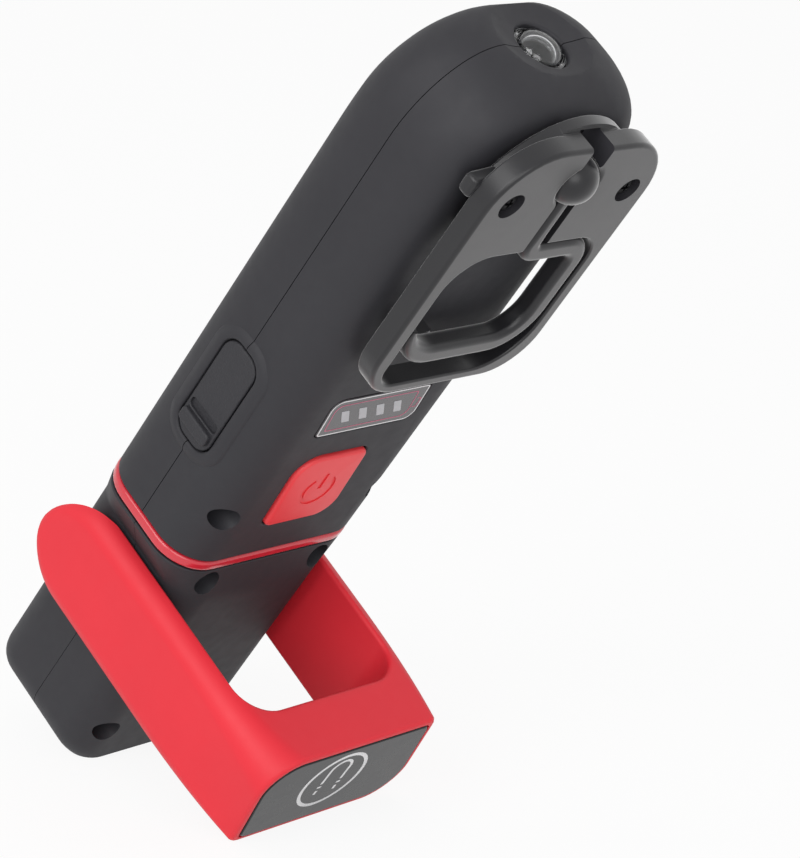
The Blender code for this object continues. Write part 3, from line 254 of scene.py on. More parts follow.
HOOK_EDGE_SHARE = 0.8
HOOK_NECK = 18.9 * MM
HOOK_NECK_WIDTH = 3.2 * MM
HOOK_NECK_POWER = 3
HOOK_REACH = 48.0 * MM
HOOK_RIGHT = 19.7 * MM
HOOK_TIP = 37.5 * MM
HOOK_TAPER = 0.72
HOOK_TAPER_POWER = 1.5
HOOK_TIP_TURN = math.radians(250 / 3)
HOOK_ROUND = HOOK_BAR * 1.8
HOOK_SLACK = 0.6 * MM
OPENING_LEFT = 19.8 * MM
HOOK_LEFT = OPENING_LEFT - HOOK_SLACK
OPENING_TOP = 17.5 * MM
OPENING_BOTTOM = 52.7 * MM
OPENING_LIP = PLATE_EDGE * 0.6

# Screws
SCREW_BOSS = 3.7 * MM
SCREW_SEAT_RADIUS = 3.0 * MM
SCREW_SHANK = 1.25 * MM
SCREW_HEAD_HEIGHT = 1.8 * MM
SCREW_DOME = SCREW_HEAD_HEIGHT * 0.6
SCREW_PITCH = 1.1 * MM
THREAD_ROOT = 0.78
SCREW_POINT = 0.6
CROSS_WIDTH = 0.75 * MM
CROSS_DEPTH = 1.1 * MM
CROSS_REACH = 0.62
CROSS_DRAFT = 0.6

# Fineness of round shapes
ARC_STEPS = 10
RUN_STEPS = 10
EDGE_STEPS = 4
TURN_STEPS = 48
RING_PITCH = 3.0 * MM
CROWN_STEPS = 28
FOOT_STEPS = 12
ARM_STEPS = 18
LEAF_STEPS = 16
TRAY_STEPS = 8
CUP_STEPS = 12
CHIP_STEPS = 20
SYMBOL_STEPS = 40
BADGE_STEPS = 72
ARCH_STEPS = 24
HOOK_RUNS = 8
TIP_STEPS = 5
SHARP_ANGLE = math.radians(33)


# Upright frame of the light, from the frame's own joints

JOINTS = {joint["name"]: joint for joint in frame["joints"]}
SIDEWAYS = Vector((1, 0, 0))
REARWARD = -Vector(JOINTS["button_press"]["axis"])
UPWARD = SIDEWAYS.cross(REARWARD)
UPRIGHT = Matrix((SIDEWAYS, REARWARD, UPWARD)).transposed().to_4x4()
UPRIGHT.translation = Vector(JOINTS["stand_swing"]["pos_m"]) - UPWARD * PIVOT_Z
PIVOT = Vector((0, 0, PIVOT_Z))
ORIGIN = Vector((0, 0, 0))
SIDES = {"left": 1, "right": -1}


def span(node):
    """Lowest and highest corner of a CAD node in the upright frame."""
    turn = UPRIGHT.inverted()
    points = [turn @ vertex.co for vertex in frame["nodes"][node].data.vertices]
    low = Vector([min(point[axis] for point in points) for axis in range(3)])
    high = Vector([max(point[axis] for point in points) for axis in range(3)])
    return low, high


def middle(node):
    low, high = span(node)
    return (low + high) / 2


HALF_DEPTH = BODY_DEPTH / 2
HALF_BODY = BODY_WIDTH / 2
REAR = HALF_DEPTH
FRONT = -HALF_DEPTH
HEAD_BASE = span("rear_shell")[0].z
HEAD_TOP = span("rear_shell")[1].z
HEAD_LENGTH = HEAD_TOP - HEAD_BASE
ARM_HALF = ARM_WIDTH / 2
ARM_INNER = HALF_BODY - ARM_THICKNESS
HALF_GRIP = ARM_INNER - BAIL_GAP
FLARE_BASE = PIVOT_Z + ARM_HALF + GAP / 2
FLARE_TOP = FLARE_BASE + SHOULDER_RISE
BAR_INNER = PIVOT_Z + BAR_CLEARANCE
COVER_SEAT = BAIL_REACH + COVER_PROUD - COVER_THICKNESS
LIGHT_CENTRE = HEAD_BASE + LIGHT_Z
BUTTON_CENTRE = middle("power_button").z
PANEL_CENTRE = middle("battery_panel").z
USB_CENTRE = middle("usb_cover").z
PLATE_FACE = span("hook_plate")[1].y
PLATE_BACK = PLATE_FACE - PLATE_THICKNESS
PLATE_TOP_Z = HEAD_TOP - PLATE_TOP
PLATE_HALF = HALF_BODY - PLATE_MARGIN
BALL = UPRIGHT.inverted() @ Vector(JOINTS["hook_flip"]["pos_m"])


# Outlines

def spread_out(low, high, count):
    """Values in equal steps from low to high, both included."""
    return [low + (high - low) * step / count for step in range(count + 1)]


def quarter(steps):
    """Angles of a quarter turn in equal steps."""
    return spread_out(0.0, math.pi / 2, steps)


def fillet(corners, closed=True, runs=0):
    """Points along a path of corners (a, b, radius), with an arc at each and points between."""
    arcs = []
    count = len(corners)
    for index, (a, b, radius) in enumerate(corners):
        here = Vector((a, b))
        if not closed and index in (0, count - 1):
            arcs.append([here])
            continue
        before = (Vector(corners[index - 1][:2]) - here).normalized()
        after = (Vector(corners[(index + 1) % count][:2]) - here).normalized()
        half = before.angle(after) / 2
        centre = here + (before + after).normalized() * (radius / math.sin(half))
        start = here + before * (radius / math.tan(half)) - centre
        end = here + after * (radius / math.tan(half)) - centre
        turn = start.angle_signed(end)
        turns = spread_out(0.0, -turn, ARC_STEPS)
        arcs.append([centre + Matrix.Rotation(angle, 2) @ start for angle in turns])
    points = []
    for index, arc in enumerate(arcs):
        points += arc
        if closed or index < count - 1:
            following = arcs[(index + 1) % count][0]
            points += [arc[-1].lerp(following, step / (runs + 1)) for step in range(1, runs + 1)]
    return points


def four_sided(a, b, large, small, shear=0.0, runs=0):
    """Outline whose first and third corners have one radius and whose others have another."""
    corners = [(a, b, large), (shear - a, b, small), (-a, -b, large), (a - shear, -b, small)]
    return fillet(corners, runs=runs)


def rounded_rect(half_a, half_b, radius, runs=0):
    return four_sided(half_a, half_b, radius, radius, runs=runs)


def stadium(half_a, half_b):
    """Outline round the main light's centre, its ends just short of half circles."""
    return shifted(rounded_rect(half_a, half_b, half_a * END_ROUND), 0, LIGHT_CENTRE)


def leaf(half_a, half_b, rounds, shear=0.0, inset=0.0):
    """Four-sided outline whose first and third corners are round and the others sharp."""
    large = max(rounds[0] - inset, rounds[1] * 0.5)
    small = max(rounds[1] - inset, rounds[1] * 0.5)
    return four_sided(half_a - inset, half_b - inset, large, small, shear)


def ribbon(points, half):
    """Outline of a bar of constant width along a path."""
    left = []
    right = []
    for index, point in enumerate(points):
        along = points[min(index + 1, len(points) - 1)] - points[max(index - 1, 0)]
        across = Vector((-along.y, along.x)).normalized() * half
        left.append(point + across)
        right.append(point - across)
    return left + right[::-1]


def arc(radius, start, end, steps):
    """Points on a circle between two angles in degrees."""
    angles = [math.radians(angle) for angle in spread_out(start, end, steps)]
    return [Vector((radius * math.cos(angle), radius * math.sin(angle))) for angle in angles]


def shifted(outline, a, b):
    return [Vector((point[0] + a, point[1] + b)) for point in outline]


def lifted(outline, axis, level):
    """The outline as 3-D points in the plane where the axis has that level."""
    if axis == "X":
        return [Vector((level, a, b)) for a, b in outline]
    if axis == "Y":
        return [Vector((a, level, b)) for a, b in outline]
    return [Vector((a, b, level)) for a, b in outline]


def rounding(radius):
    """Steps (drawn in, risen) round a quarter-circle edge, from its side to its face."""
    if radius < TINY:
        return [(0.0, 0.0)]
    return [(radius * (1 - math.cos(angle)), radius * math.sin(angle)) for angle in quarter(EDGE_STEPS)]


def dome(radius, low, high, steps):
    """Profile (radius, height) of a dome from its crown at high to its foot at low."""
    turns = quarter(steps)
    return [(radius * math.sin(turn), low + (high - low) * math.cos(turn)) for turn in turns]


# Solids

def add_to_scene(name, data):
    item = bpy.data.objects.new(name, data)
    bpy.context.scene.collection.objects.link(item)
    return item


def smooth(mesh):
    mesh.shade_smooth()
    mesh.set_sharp_from_angle(angle=SHARP_ANGLE)


def finish_mesh(name, bm):
    bmesh.ops.recalc_face_normals(bm, faces=bm.faces)
    mesh = bpy.data.meshes.new(name)
    bm.to_mesh(mesh)
    bm.free()
    smooth(mesh)
    return add_to_scene(name, mesh)


def loft(name, rings, wrap=False):
    """Closed solid through rings of equal point counts, or a closed hoop of them."""
    bm = bmesh.new()
    rows = [[bm.verts.new(point) for point in ring] for ring in rings]
    pairs = list(zip(rows, rows[1:]))
    if wrap:
        pairs.append((rows[-1], rows[0]))
    else:
        bm.faces.new(rows[0])
        bm.faces.new(rows[-1])
    count = len(rows[0])
    for lower, upper in pairs:
        for index in range(count):
            following = (index + 1) % count
            bm.faces.new((lower[index], lower[following], upper[following], upper[index]))
    return finish_mesh(name, bm)


def edge_rings(outline, axis, face, edge, out=1):
    """Rings round an edge up to its face, from an outline that takes an inset."""
    return [lifted(outline(draw), axis, face + out * (rise - edge)) for draw, rise in rounding(edge)]


def slab(name, outline, axis, low, high, low_edge=0.0, high_edge=0.0):
    """Solid between two levels of an axis with rounded edges."""
    rings = edge_rings(outline, axis, low, low_edge, -1)[::-1]
    return loft(name, rings + edge_rings(outline, axis, high, high_edge))


def lipped(name, outline, axis, deep, surface, lip):
    """Cutter from deep inside to outside a flat surface, which leaves a rounded edge on it."""
    out = 1 if surface > deep else -1
    rings = [lifted(outline(0.0), axis, deep)]
    rings += edge_rings(lambda draw: outline(-draw), axis, surface, lip, out)
    rings.append(lifted(outline(-lip), axis, surface + out * CLEAR))
    return loft(name, rings)


def hoop(name, outer, inner, axis, low, high):
    """Flat closed line between two outlines, drawn out along an axis."""
    rings = [lifted(outer, axis, low), lifted(outer, axis, high)]
    rings += [lifted(inner, axis, high), lifted(inner, axis, low)]
    return loft(name, rings, wrap=True)


def prism(name, outline, axis, low, high):
    return loft(name, [lifted(outline, axis, low), lifted(outline, axis, high)])


def block(name, low, high):
    outline = [(low[0], low[1]), (high[0], low[1]), (high[0], high[1]), (low[0], high[1])]
    return prism(name, outline, "Z", low[2], high[2])


def turned(name, profile, axis, place, steps=TURN_STEPS, ring=False):
    """Solid turned about an axis through place, from (radius, height) points in order."""
    bm = bmesh.new()
    rows = []
    for radius, height in profile:
        count = 1 if radius < TINY else steps
        angles = [2 * math.pi * step / count for step in range(count)]
        rows.append([bm.verts.new((radius * math.cos(a), radius * math.sin(a), height)) for a in angles])
    pairs = list(zip(rows, rows[1:]))
    if ring:
        pairs.append((rows[-1], rows[0]))
    for lower, upper in pairs:
        for step in range(steps):
            corners = [lower[step % len(lower)], lower[(step + 1) % steps % len(lower)]]
            corners += [upper[(step + 1) % steps % len(upper)], upper[step % len(upper)]]
            bm.faces.new(list(dict.fromkeys(corners)))
    turns = {"X": Matrix.Rotation(math.pi / 2, 4, "Y"), "Y": Matrix.Rotation(-math.pi / 2, 4, "X")}
    bm.transform(Matrix.Translation(place) @ turns.get(axis, Matrix.Identity(4)))
    return finish_mesh(name, bm)


def rod(name, axis, place, radius, low, high):
    return turned(name, [(0, high), (radius, high), (radius, low), (0, low)], axis, place)


def ball(name, place, radius):
    bm = bmesh.new()
    bmesh.ops.create_uvsphere(bm, u_segments=TURN_STEPS, v_segments=TURN_STEPS // 2, radius=radius)
    bm.transform(Matrix.Translation(place))
    return finish_mesh(name, bm)


def carve(item, others, operation="DIFFERENCE"):
    """Cuts or joins other solids with an item, and uses them up."""
    for other in others:
        modifier = item.modifiers.new(other.name, "BOOLEAN")
        modifier.operation = operation
        modifier.solver = "MANIFOLD"
        modifier.object = other
    graph = bpy.context.evaluated_depsgraph_get()
    mesh = bpy.data.meshes.new_from_object(item.evaluated_get(graph))
    item.modifiers.clear()
    item.data = mesh
    mesh.materials.clear()
    smooth(mesh)
    for other in others:
        bpy.data.objects.remove(other, do_unlink=True)
    return item


def dress(item, material, slot, *nodes, body="lamp_body"):
    """Gives a finished piece its material and its place in the frame, and hides the CAD nodes it stands
    for.
    """
    item.data.materials.clear()
    item.data.materials.append(material)
    item.matrix_world = UPRIGHT
    normals = item.modifiers.new("even_normals", "WEIGHTED_NORMAL")
    normals.keep_sharp = True
    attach(item, body)
    if nodes:
        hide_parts(*nodes)
    return item


def paint_recess_shade(item, inside):
    """Paints the faces in a piece's recesses with the casing's black, as painted shade."""
    item.data.materials.append(SOFT_BLACK)
    for face in item.data.polygons:
        if inside(face.center):
            face.material_index = 1


# Materials

PATCH_DETAIL = 4.0
GLOSS_SPREAD = 0.12
GLOSS_SCALE = 6.0
RELIEF_STRENGTH = 0.5


def set_sockets(node, sockets):
    for socket, value in sockets.items():
        node.inputs[socket.replace("_", " ")].default_value = value


def shader_node(tree, kind, operation=None, **sockets):
    node = tree.nodes.new("ShaderNode" + kind)
    if operation:
        node.operation = operation
    set_sockets(node, sockets)
    return node


def noise(tree, coords, scale, detail=2.0):
    node = shader_node(tree, "TexNoise", Scale=scale, Detail=detail)
    tree.links.new(coords, node.inputs["Vector"])
    return node.outputs["Fac"]


def surface(name, tone, roughness, patch=60.0, spread=0.1, grain=2600.0, relief=0.02, stretch=None,
            **sockets):
    """Surface with two close tones in patches, uneven gloss and a fine grain in relief."""
    material = bpy.data.materials.new(name)
    material.use_nodes = True
    tree = material.node_tree
    shader = tree.nodes["Principled BSDF"]
    coords = shader_node(tree, "TexCoord").outputs["Object"]
    if stretch:
        mapping = shader_node(tree, "Mapping", Scale=stretch)
        tree.links.new(coords, mapping.inputs["Vector"])
        coords = mapping.outputs["Vector"]

    tones = shader_node(tree, "Mix")
    tones.data_type = "RGBA"
    tones.inputs["A"].default_value = (*[value * (1 - spread) for value in tone], 1.0)
    tones.inputs["B"].default_value = (*[min(value * (1 + spread), 1.0) for value in tone], 1.0)
    tree.links.new(noise(tree, coords, patch, PATCH_DETAIL), tones.inputs["Factor"])
    tree.links.new(tones.outputs["Result"], shader.inputs["Base Color"])

    dullest = min(roughness * (1 + GLOSS_SPREAD), 1.0)
    gloss = shader_node(tree, "MapRange", To_Min=roughness * (1 - GLOSS_SPREAD), To_Max=dullest)
    tree.links.new(noise(tree, coords, patch * GLOSS_SCALE), gloss.inputs["Value"])
    tree.links.new(gloss.outputs["Result"], shader.inputs["Roughness"])

    bump = shader_node(tree, "Bump", Strength=RELIEF_STRENGTH, Distance=relief * MM)
    tree.links.new(noise(tree, coords, grain), bump.inputs["Height"])
    tree.links.new(bump.outputs["Normal"], shader.inputs["Normal"])

    set_sockets(shader, sockets)
    return material


SOFT_BLACK = surface("soft_touch_black", (0.0215, 0.021, 0.025), 0.6, Specular_IOR_Level=0.36)
FLAP_RUBBER = surface("flap_rubber", (0.021, 0.0205, 0.0245), 0.6, grain=2000.0, relief=0.4,
                      Specular_IOR_Level=0.4)
SATIN_GREY = surface("satin_grey_plastic", (0.011, 0.0108, 0.0126), 0.33, grain=1800.0,
                     Specular_IOR_Level=0.42, Sheen_Weight=0.65, Sheen_Roughness=0.35)
RED_RUBBER = surface("red_stand_rubber", (0.67, 0.022, 0.036), 0.5, spread=0.05, Specular_IOR_Level=0.35)
BUTTON_RED = surface("button_red", (0.75, 0.042, 0.05), 0.45, spread=0.05, Specular_IOR_Level=0.5)
BAND_RED = surface("band_red", (0.54, 0.02, 0.036), 0.22, spread=0.08, relief=0.008, Coat_Weight=0.4)
WHITE_TRAY = surface("white_reflector", (0.74, 0.75, 0.78), 0.32, spread=0.03, relief=0.01)
PHOSPHOR = surface("yellow_phosphor", (0.78, 0.78, 0.12), 0.42, patch=900.0, spread=0.08, grain=5000.0)
CLEAR_PLASTIC = surface("clear_plastic", (0.95, 0.96, 0.97), 0.04, spread=0.02, relief=0.002,
                        Transmission_Weight=1.0, IOR=1.49)
CHROME = surface("chromed_cup", (0.1, 0.102, 0.106), 0.2, relief=0.004, Metallic=1.0)
STEEL = surface("zinced_steel", (0.46, 0.46, 0.47), 0.34, spread=0.12, grain=900.0, Metallic=1.0)
# Painted shade: the screws are kept near-black so that the screw holes read as dark shade.
SCREW_STEEL = surface("screw_steel_painted_shade", (0.014, 0.014, 0.015), 0.6, spread=0.2, grain=1200.0,
                      Metallic=1.0)
ALUMINIUM = surface("brushed_aluminium", (0.66, 0.67, 0.68), 0.36, spread=0.08, grain=900.0,
                    stretch=(1.0, 1.0, 0.05), Metallic=1.0)
PANEL = surface("smoked_panel", (0.06, 0.055, 0.06), 0.22, relief=0.004, Coat_Weight=0.1)
SILVER_LINE = surface("silver_print", (0.7, 0.7, 0.71), 0.4, relief=0.004)
GAUGE_LINE_RED = surface("gauge_print", (0.42, 0.08, 0.15), 0.4, relief=0.004)
GAUGE_WINDOW = surface("gauge_window", (0.4, 0.4, 0.42), 0.35, patch=700.0, spread=0.12)
COVER_GREY = surface("magnet_cover_grey", (0.009, 0.009, 0.0105), 0.28, spread=0.12, relief=0.003,
                     Specular_IOR_Level=0.26)
WHITE_PRINT = surface("white_print", (0.74, 0.74, 0.75), 0.5, patch=500.0, spread=0.08)
BOARD_GREEN = surface("circuit_board", (0.02, 0.14, 0.06), 0.4, patch=420.0, spread=0.35, grain=700.0)
CHIP_WHITE = surface("led_white", (0.72, 0.73, 0.74), 0.4, spread=0.05)
CELL_WRAP = surface("cell_wrap", (0.05, 0.17, 0.4), 0.35, spread=0.06, relief=0.008)
LEAD_RED = surface("red_lead", (0.5, 0.025, 0.025), 0.45)
LEAD_BLACK = surface("black_lead", (0.025, 0.025, 0.026), 0.45)

CAD_FINISHES = {
    "battery_cell": CELL_WRAP, "cell_contact_top": STEEL, "cell_contact_bottom": STEEL,
    "battery_lead_plus": LEAD_RED, "battery_lead_minus": LEAD_BLACK,
    "cob_board": ALUMINIUM, "heat_sink": ALUMINIUM, "torch_led": LEAD_BLACK,
    "main_board": BOARD_GREEN, "tact_switch": STEEL, "switch_plunger": BUTTON_RED, "usb_socket": STEEL,
    "magnet": STEEL, "pivot_pin_left": STEEL, "pivot_pin_right": STEEL,
    "friction_washer_left": STEEL, "friction_washer_right": STEEL,
}
CAD_FINISHES.update({"indicator_led_" + str(index): CHIP_WHITE for index in range(1, 5)})


def finish_cad_nodes():
    """Materials for the inner pieces, which keep their CAD shapes."""
    for node, material in CAD_FINISHES.items():
        mesh = frame["nodes"][node].data
        mesh.materials.clear()
        mesh.materials.append(material)


# Head casing

def head_half_width(height):
    share = (height - HEAD_BASE) / HEAD_LENGTH
    return (BODY_WIDTH + (HEAD_WIDTH - BODY_WIDTH) * share) / 2


def drawn_in(height, top, rise, draw):
    """How far an end that is rounded over that rise has drawn in at a height."""
    share = min(max(height - (top - rise), 0.0) / rise, 1.0)
    return draw * (1 - math.sqrt(1 - share ** 2))


def head_ring(height, inset=0.0):
    """Section of the head, whose front slopes back further than its rear towards the top."""
    top = HEAD_TOP - inset
    crown = drawn_in(height, top, CROWN_RISE - inset, CROWN_DRAW - inset)
    half_x = head_half_width(height) - inset - crown
    front = inset - HALF_DEPTH + drawn_in(height, top, FRONT_RISE - inset, FRONT_DRAW - inset)
    rear = HALF_DEPTH - inset - drawn_in(height, top, TOP_EDGE - inset, TOP_EDGE - inset)
    half_y = (rear - front) / 2
    radius = min(EDGE_RADIUS - inset, half_y * FULL_ROUND)
    outline = rounded_rect(half_x, half_y, radius, RUN_STEPS)
    return lifted(shifted(outline, 0, (front + rear) / 2), "Z", height)


def head_heights(base, inset):
    spring = HEAD_TOP - FRONT_RISE
    count = round((spring - base) / RING_PITCH)
    heights = spread_out(base, spring, count)[1:-1]
    return heights + [spring + (FRONT_RISE - inset) * math.sin(angle) for angle in quarter(CROWN_STEPS)]


def head_solid(name, base, inset, edge=0.0):
    rings = []
    for draw, rise in reversed(rounding(edge)):
        rings.append(head_ring(base + edge - rise, inset + draw))
    rings += [head_ring(height, inset) for height in head_heights(base + edge, inset)]
    return loft(name, rings)


def half_space(name, split):
    """All space before or behind the parting plane."""
    near, far = (-FAR, -split / 2) if name == "front" else (split / 2, FAR)
    return block(name + "_half", (-FAR, near, -FAR), (FAR, far, 2 * FAR))


def button_outline(inset):
    rounds = (BUTTON_WIDTH / 4, BUTTON_WIDTH / 11)
    outline = leaf(BUTTON_WIDTH / 2, BUTTON_HEIGHT / 2, rounds, BUTTON_WIDTH / 14, inset)
    return shifted(outline, CONTROL_SHIFT, BUTTON_CENTRE)


def panel_outline(inset):
    rounds = (PANEL_HEIGHT / 4, PANEL_HEIGHT / 10)
    outline = leaf(PANEL_WIDTH / 2, PANEL_HEIGHT / 2, rounds, PANEL_HEIGHT / 10, inset)
    return shifted(outline, 0, PANEL_CENTRE)


def flap_outline(inset):
    radius = max(USB_ROUND - inset, USB_ROUND / 3)
    outline = rounded_rect(USB_WIDTH / 2 - inset, USB_LENGTH / 2 - inset, radius)
    return shifted(outline, 0, USB_CENTRE)


def light_outline(inset):
    return stadium(REFLECTOR_WIDTH / 2 - inset, REFLECTOR_LENGTH / 2 - inset)


def grown(outline, by):
    """The same outline function, with its insets measured from a larger outline."""
    return lambda inset: outline(inset - by)


def flap_rim():
    """Low swelling of the casing round the charging flap."""
    face = head_half_width(USB_CENTRE)
    rings = []
    for grow, rise in USB_RIM_SHAPE:
        rings.append(lifted(flap_outline(-grow * USB_RIM), "X", face + rise * USB_RIM_RISE))
    rings.append(lifted(flap_outline(-GAP), "X", face - WALL / 2))
    return loft("flap_rim", rings)


def contour():
    """Shallow step in the front that runs out towards the top."""
    half_b = LIGHT_CENTRE - HEAD_BASE - CONTOUR_FOOT
    rings = []
    for inset, rise in CONTOUR_EDGE:
        outline = stadium(CONTOUR_WIDTH / 2 - inset * MM, half_b - inset * MM)
        rings.append(lifted(outline, "Y", FRONT - rise * CONTOUR_DEPTH))
    rings.append(lifted(stadium(CONTOUR_WIDTH / 2, half_b), "Y", FRONT - CLEAR))
    step = loft("front_contour", rings)
    hinge = Vector((0, FRONT, LIGHT_CENTRE))
    lean = Matrix.Rotation(math.atan2(CONTOUR_DEPTH, half_b), 4, "X")
    step.data.transform(Matrix.Translation(hinge) @ lean @ Matrix.Translation(-hinge))
    return step


def dish_level(reach):
    """Height of the hollow round the torch at a distance from its axis."""
    return HEAD_TOP - DISH_DEPTH * (1 - (reach / DISH_RADIUS) ** 2)


def shared_cutters(name):
    """Openings that cross the parting line."""
    lip = HEAD_TOP - TORCH_LIP
    board = span("torch_led")[0].z - GAP
    bore = rod(name + "_torch_bore", "Z", ORIGIN, TORCH_RADIUS + GAP, board, lip)
    edge = TORCH_DOME + GAP
    rim = dish_level(edge + MOUTH_ROUND)
    mouth = [(0, lip - GAP), (edge, lip - GAP)]
    mouth += [(edge + draw, rim - MOUTH_ROUND + rise) for draw, rise in rounding(MOUTH_ROUND)]
    mouth += [(edge + MOUTH_ROUND, HEAD_TOP + CLEAR), (0, HEAD_TOP + CLEAR)]
    dish = [(reach, dish_level(reach)) for reach in spread_out(0.0, DISH_RADIUS, ARC_STEPS)]
    dish += [(DISH_RADIUS, HEAD_TOP + CLEAR), (0, HEAD_TOP + CLEAR)]
    neck = rounded_rect(NECK_HALF_X, NECK_HALF_Y, NECK_HALF_Y / 2)
    face = head_half_width(USB_CENTRE)
    socket = middle("usb_socket")
    half_y = PORT_HEIGHT
    half_z = PORT_LENGTH / 2 + 2 * GAP
    return [bore, turned(name + "_torch_mouth", mouth, "Z", ORIGIN),
            turned(name + "_torch_dish", dish, "Z", ORIGIN),
            prism(name + "_neck_hole", neck, "Z", HEAD_BASE - WALL, HEAD_BASE + 2 * WALL),
            slab(name + "_flap_recess", grown(flap_outline, GAP), "X", face - USB_DEPTH, face + CLEAR),
            block(name + "_port", (face - 2 * WALL, socket.y - half_y, USB_CENTRE - half_z),
                  (face + CLEAR, socket.y + half_y, USB_CENTRE + half_z))]


def screw_axis(node):
    """Point on a screw's axis in the parting plane."""
    centre = middle(node)
    return Vector((centre.x, 0, centre.z))


def screw_hole(node, name):
    """Recess over a screw, deep enough for its head."""
    low, high = span(node)
    seat = high.y - SCREW_HEAD_HEIGHT - GAP
    profile = [(0, FAR), (SCREW_SEAT_RADIUS, FAR), (SCREW_SEAT_RADIUS, seat)]
    profile += [(SCREW_SHANK + GAP, seat), (SCREW_SHANK + GAP, low.y - GAP), (0, low.y - GAP)]
    return turned(name + "_" + node, profile, "Y", screw_axis(node))


def screw_boss(node, name):
    return rod(name + "_" + node, "Y", screw_axis(node), SCREW_BOSS, -FAR, FAR)


def head_cavity(name):
    cavity = head_solid(name + "_cavity", HEAD_BASE + WALL, WALL)
    collar = TORCH_RADIUS + GAP + TORCH_COLLAR
    bosses = [screw_boss("head_screw_left", name), screw_boss("head_screw_right", name)]
    bosses.append(rod(name + "_collar", "Z", ORIGIN, collar, span("torch_led")[0].z, HEAD_TOP))
    return carve(cavity, bosses)


def head_casing():
    for name in ("front", "rear"):
        shell = head_solid(name + "_casing", HEAD_BASE, 0.0, SEAM_EDGE)
        carve(shell, [head_cavity(name)])
        carve(shell, [flap_rim()], "UNION")
        carve(shell, [half_space(name, SPLIT)], "INTERSECT")
        cutters = shared_cutters(name)
        if name == "front":
            cutters.append(contour())
            opening = grown(light_outline, GAP)
            cutters.append(lipped("light_opening", opening, "Y", FRONT + 2 * WALL, FRONT, LIGHT_LIP))
        else:
            opening = grown(button_outline, GAP)
            cutters.append(lipped("button_opening", opening, "Y", REAR - 2 * WALL, REAR, BUTTON_LIP))
            back = span("battery_panel")[0].y - GAP
            cutters.append(lipped("panel_recess", grown(panel_outline, GAP), "Y", back, REAR, PANEL_LIP))
            window = grown(panel_outline, -PANEL_LEDGE)
            cutters.append(slab("panel_window", window, "Y", REAR - 2 * WALL, REAR))
            cutters += [screw_hole("hook_screw_" + side, name) for side in SIDES]
        cutters += [screw_hole("head_screw_" + side, name) for side in SIDES]
        carve(shell, cutters)
        dress(shell, SOFT_BLACK, "soft_black", name + "_shell")


def band():
    low, high = span("seam_band")

    def outline(inset):
        grow = BAND_PROUD - inset
        return rounded_rect(HALF_BODY + grow, HALF_DEPTH + grow, EDGE_RADIUS + grow, RUN_STEPS)

    ring = slab("red_band", outline, "Z", low.z, high.z, BAND_EDGE, BAND_EDGE)
    hole = rounded_rect(NECK_HALF_X, NECK_HALF_Y, NECK_HALF_Y / 2)
    carve(ring, [prism("band_hole", hole, "Z", low.z - WALL, high.z + WALL)])
    dress(ring, BAND_RED, "red_gloss", "seam_band")


# Screws

def screw(node):
    """Pan-headed screw with a cross recess and a thread."""
    low, high = span(node)
    place = screw_axis(node)
    head = (high.x - low.x) / 2
    under = high.y - SCREW_HEAD_HEIGHT
    profile = dome(head, high.y - SCREW_DOME, high.y, EDGE_STEPS)
    profile += [(head, under), (SCREW_SHANK, under)]
    turns = int((under - low.y) / SCREW_PITCH) - 1
    for turn in range(turns):
        level = under - (turn + 0.5) * SCREW_PITCH
        profile += [(SCREW_SHANK, level), (SCREW_SHANK * THREAD_ROOT, level - SCREW_PITCH / 2)]
    profile += [(SCREW_SHANK * SCREW_POINT, low.y), (0, low.y)]
    item = turned(node + "_metal", profile, "Y", place, TURN_STEPS // 2)
    reach = head * CROSS_REACH
    half = CROSS_WIDTH / 2
    cuts = []
    for name, a, b in (("wide", reach, half), ("tall", half, reach)):
        top = [(a, b), (-a, b), (-a, -b), (a, -b)]
        foot = [(across * CROSS_DRAFT, up * CROSS_DRAFT) for across, up in top]
        rings = [lifted(shifted(foot, place.x, place.z), "Y", high.y - CROSS_DEPTH),
                 lifted(shifted(top, place.x, place.z), "Y", high.y + CROSS_DEPTH)]
        cuts.append(loft(node + "_" + name, rings))
    carve(item, cuts)
    dress(item, SCREW_STEEL, "steel", node)


def screws():
    for side in SIDES:
        screw("head_screw_" + side)
        screw("hook_screw_" + side)
    for index in range(1, 5):
        screw("grip_screw_" + str(index))


# Main light

def strip_outline(inset):
    return stadium(STRIP_WIDTH / 2 - inset, STRIP_LENGTH / 2 - inset)


def strip_slab(name, node, edge):
    """Slab of the light strip's shape, as wide and thick as a node."""
    low, high = span(node)
    inset = STRIP_WIDTH / 2 - (high.x - low.x) / 2
    return slab(name, grown(strip_outline, -inset), "Y", low.y, high.y, edge)


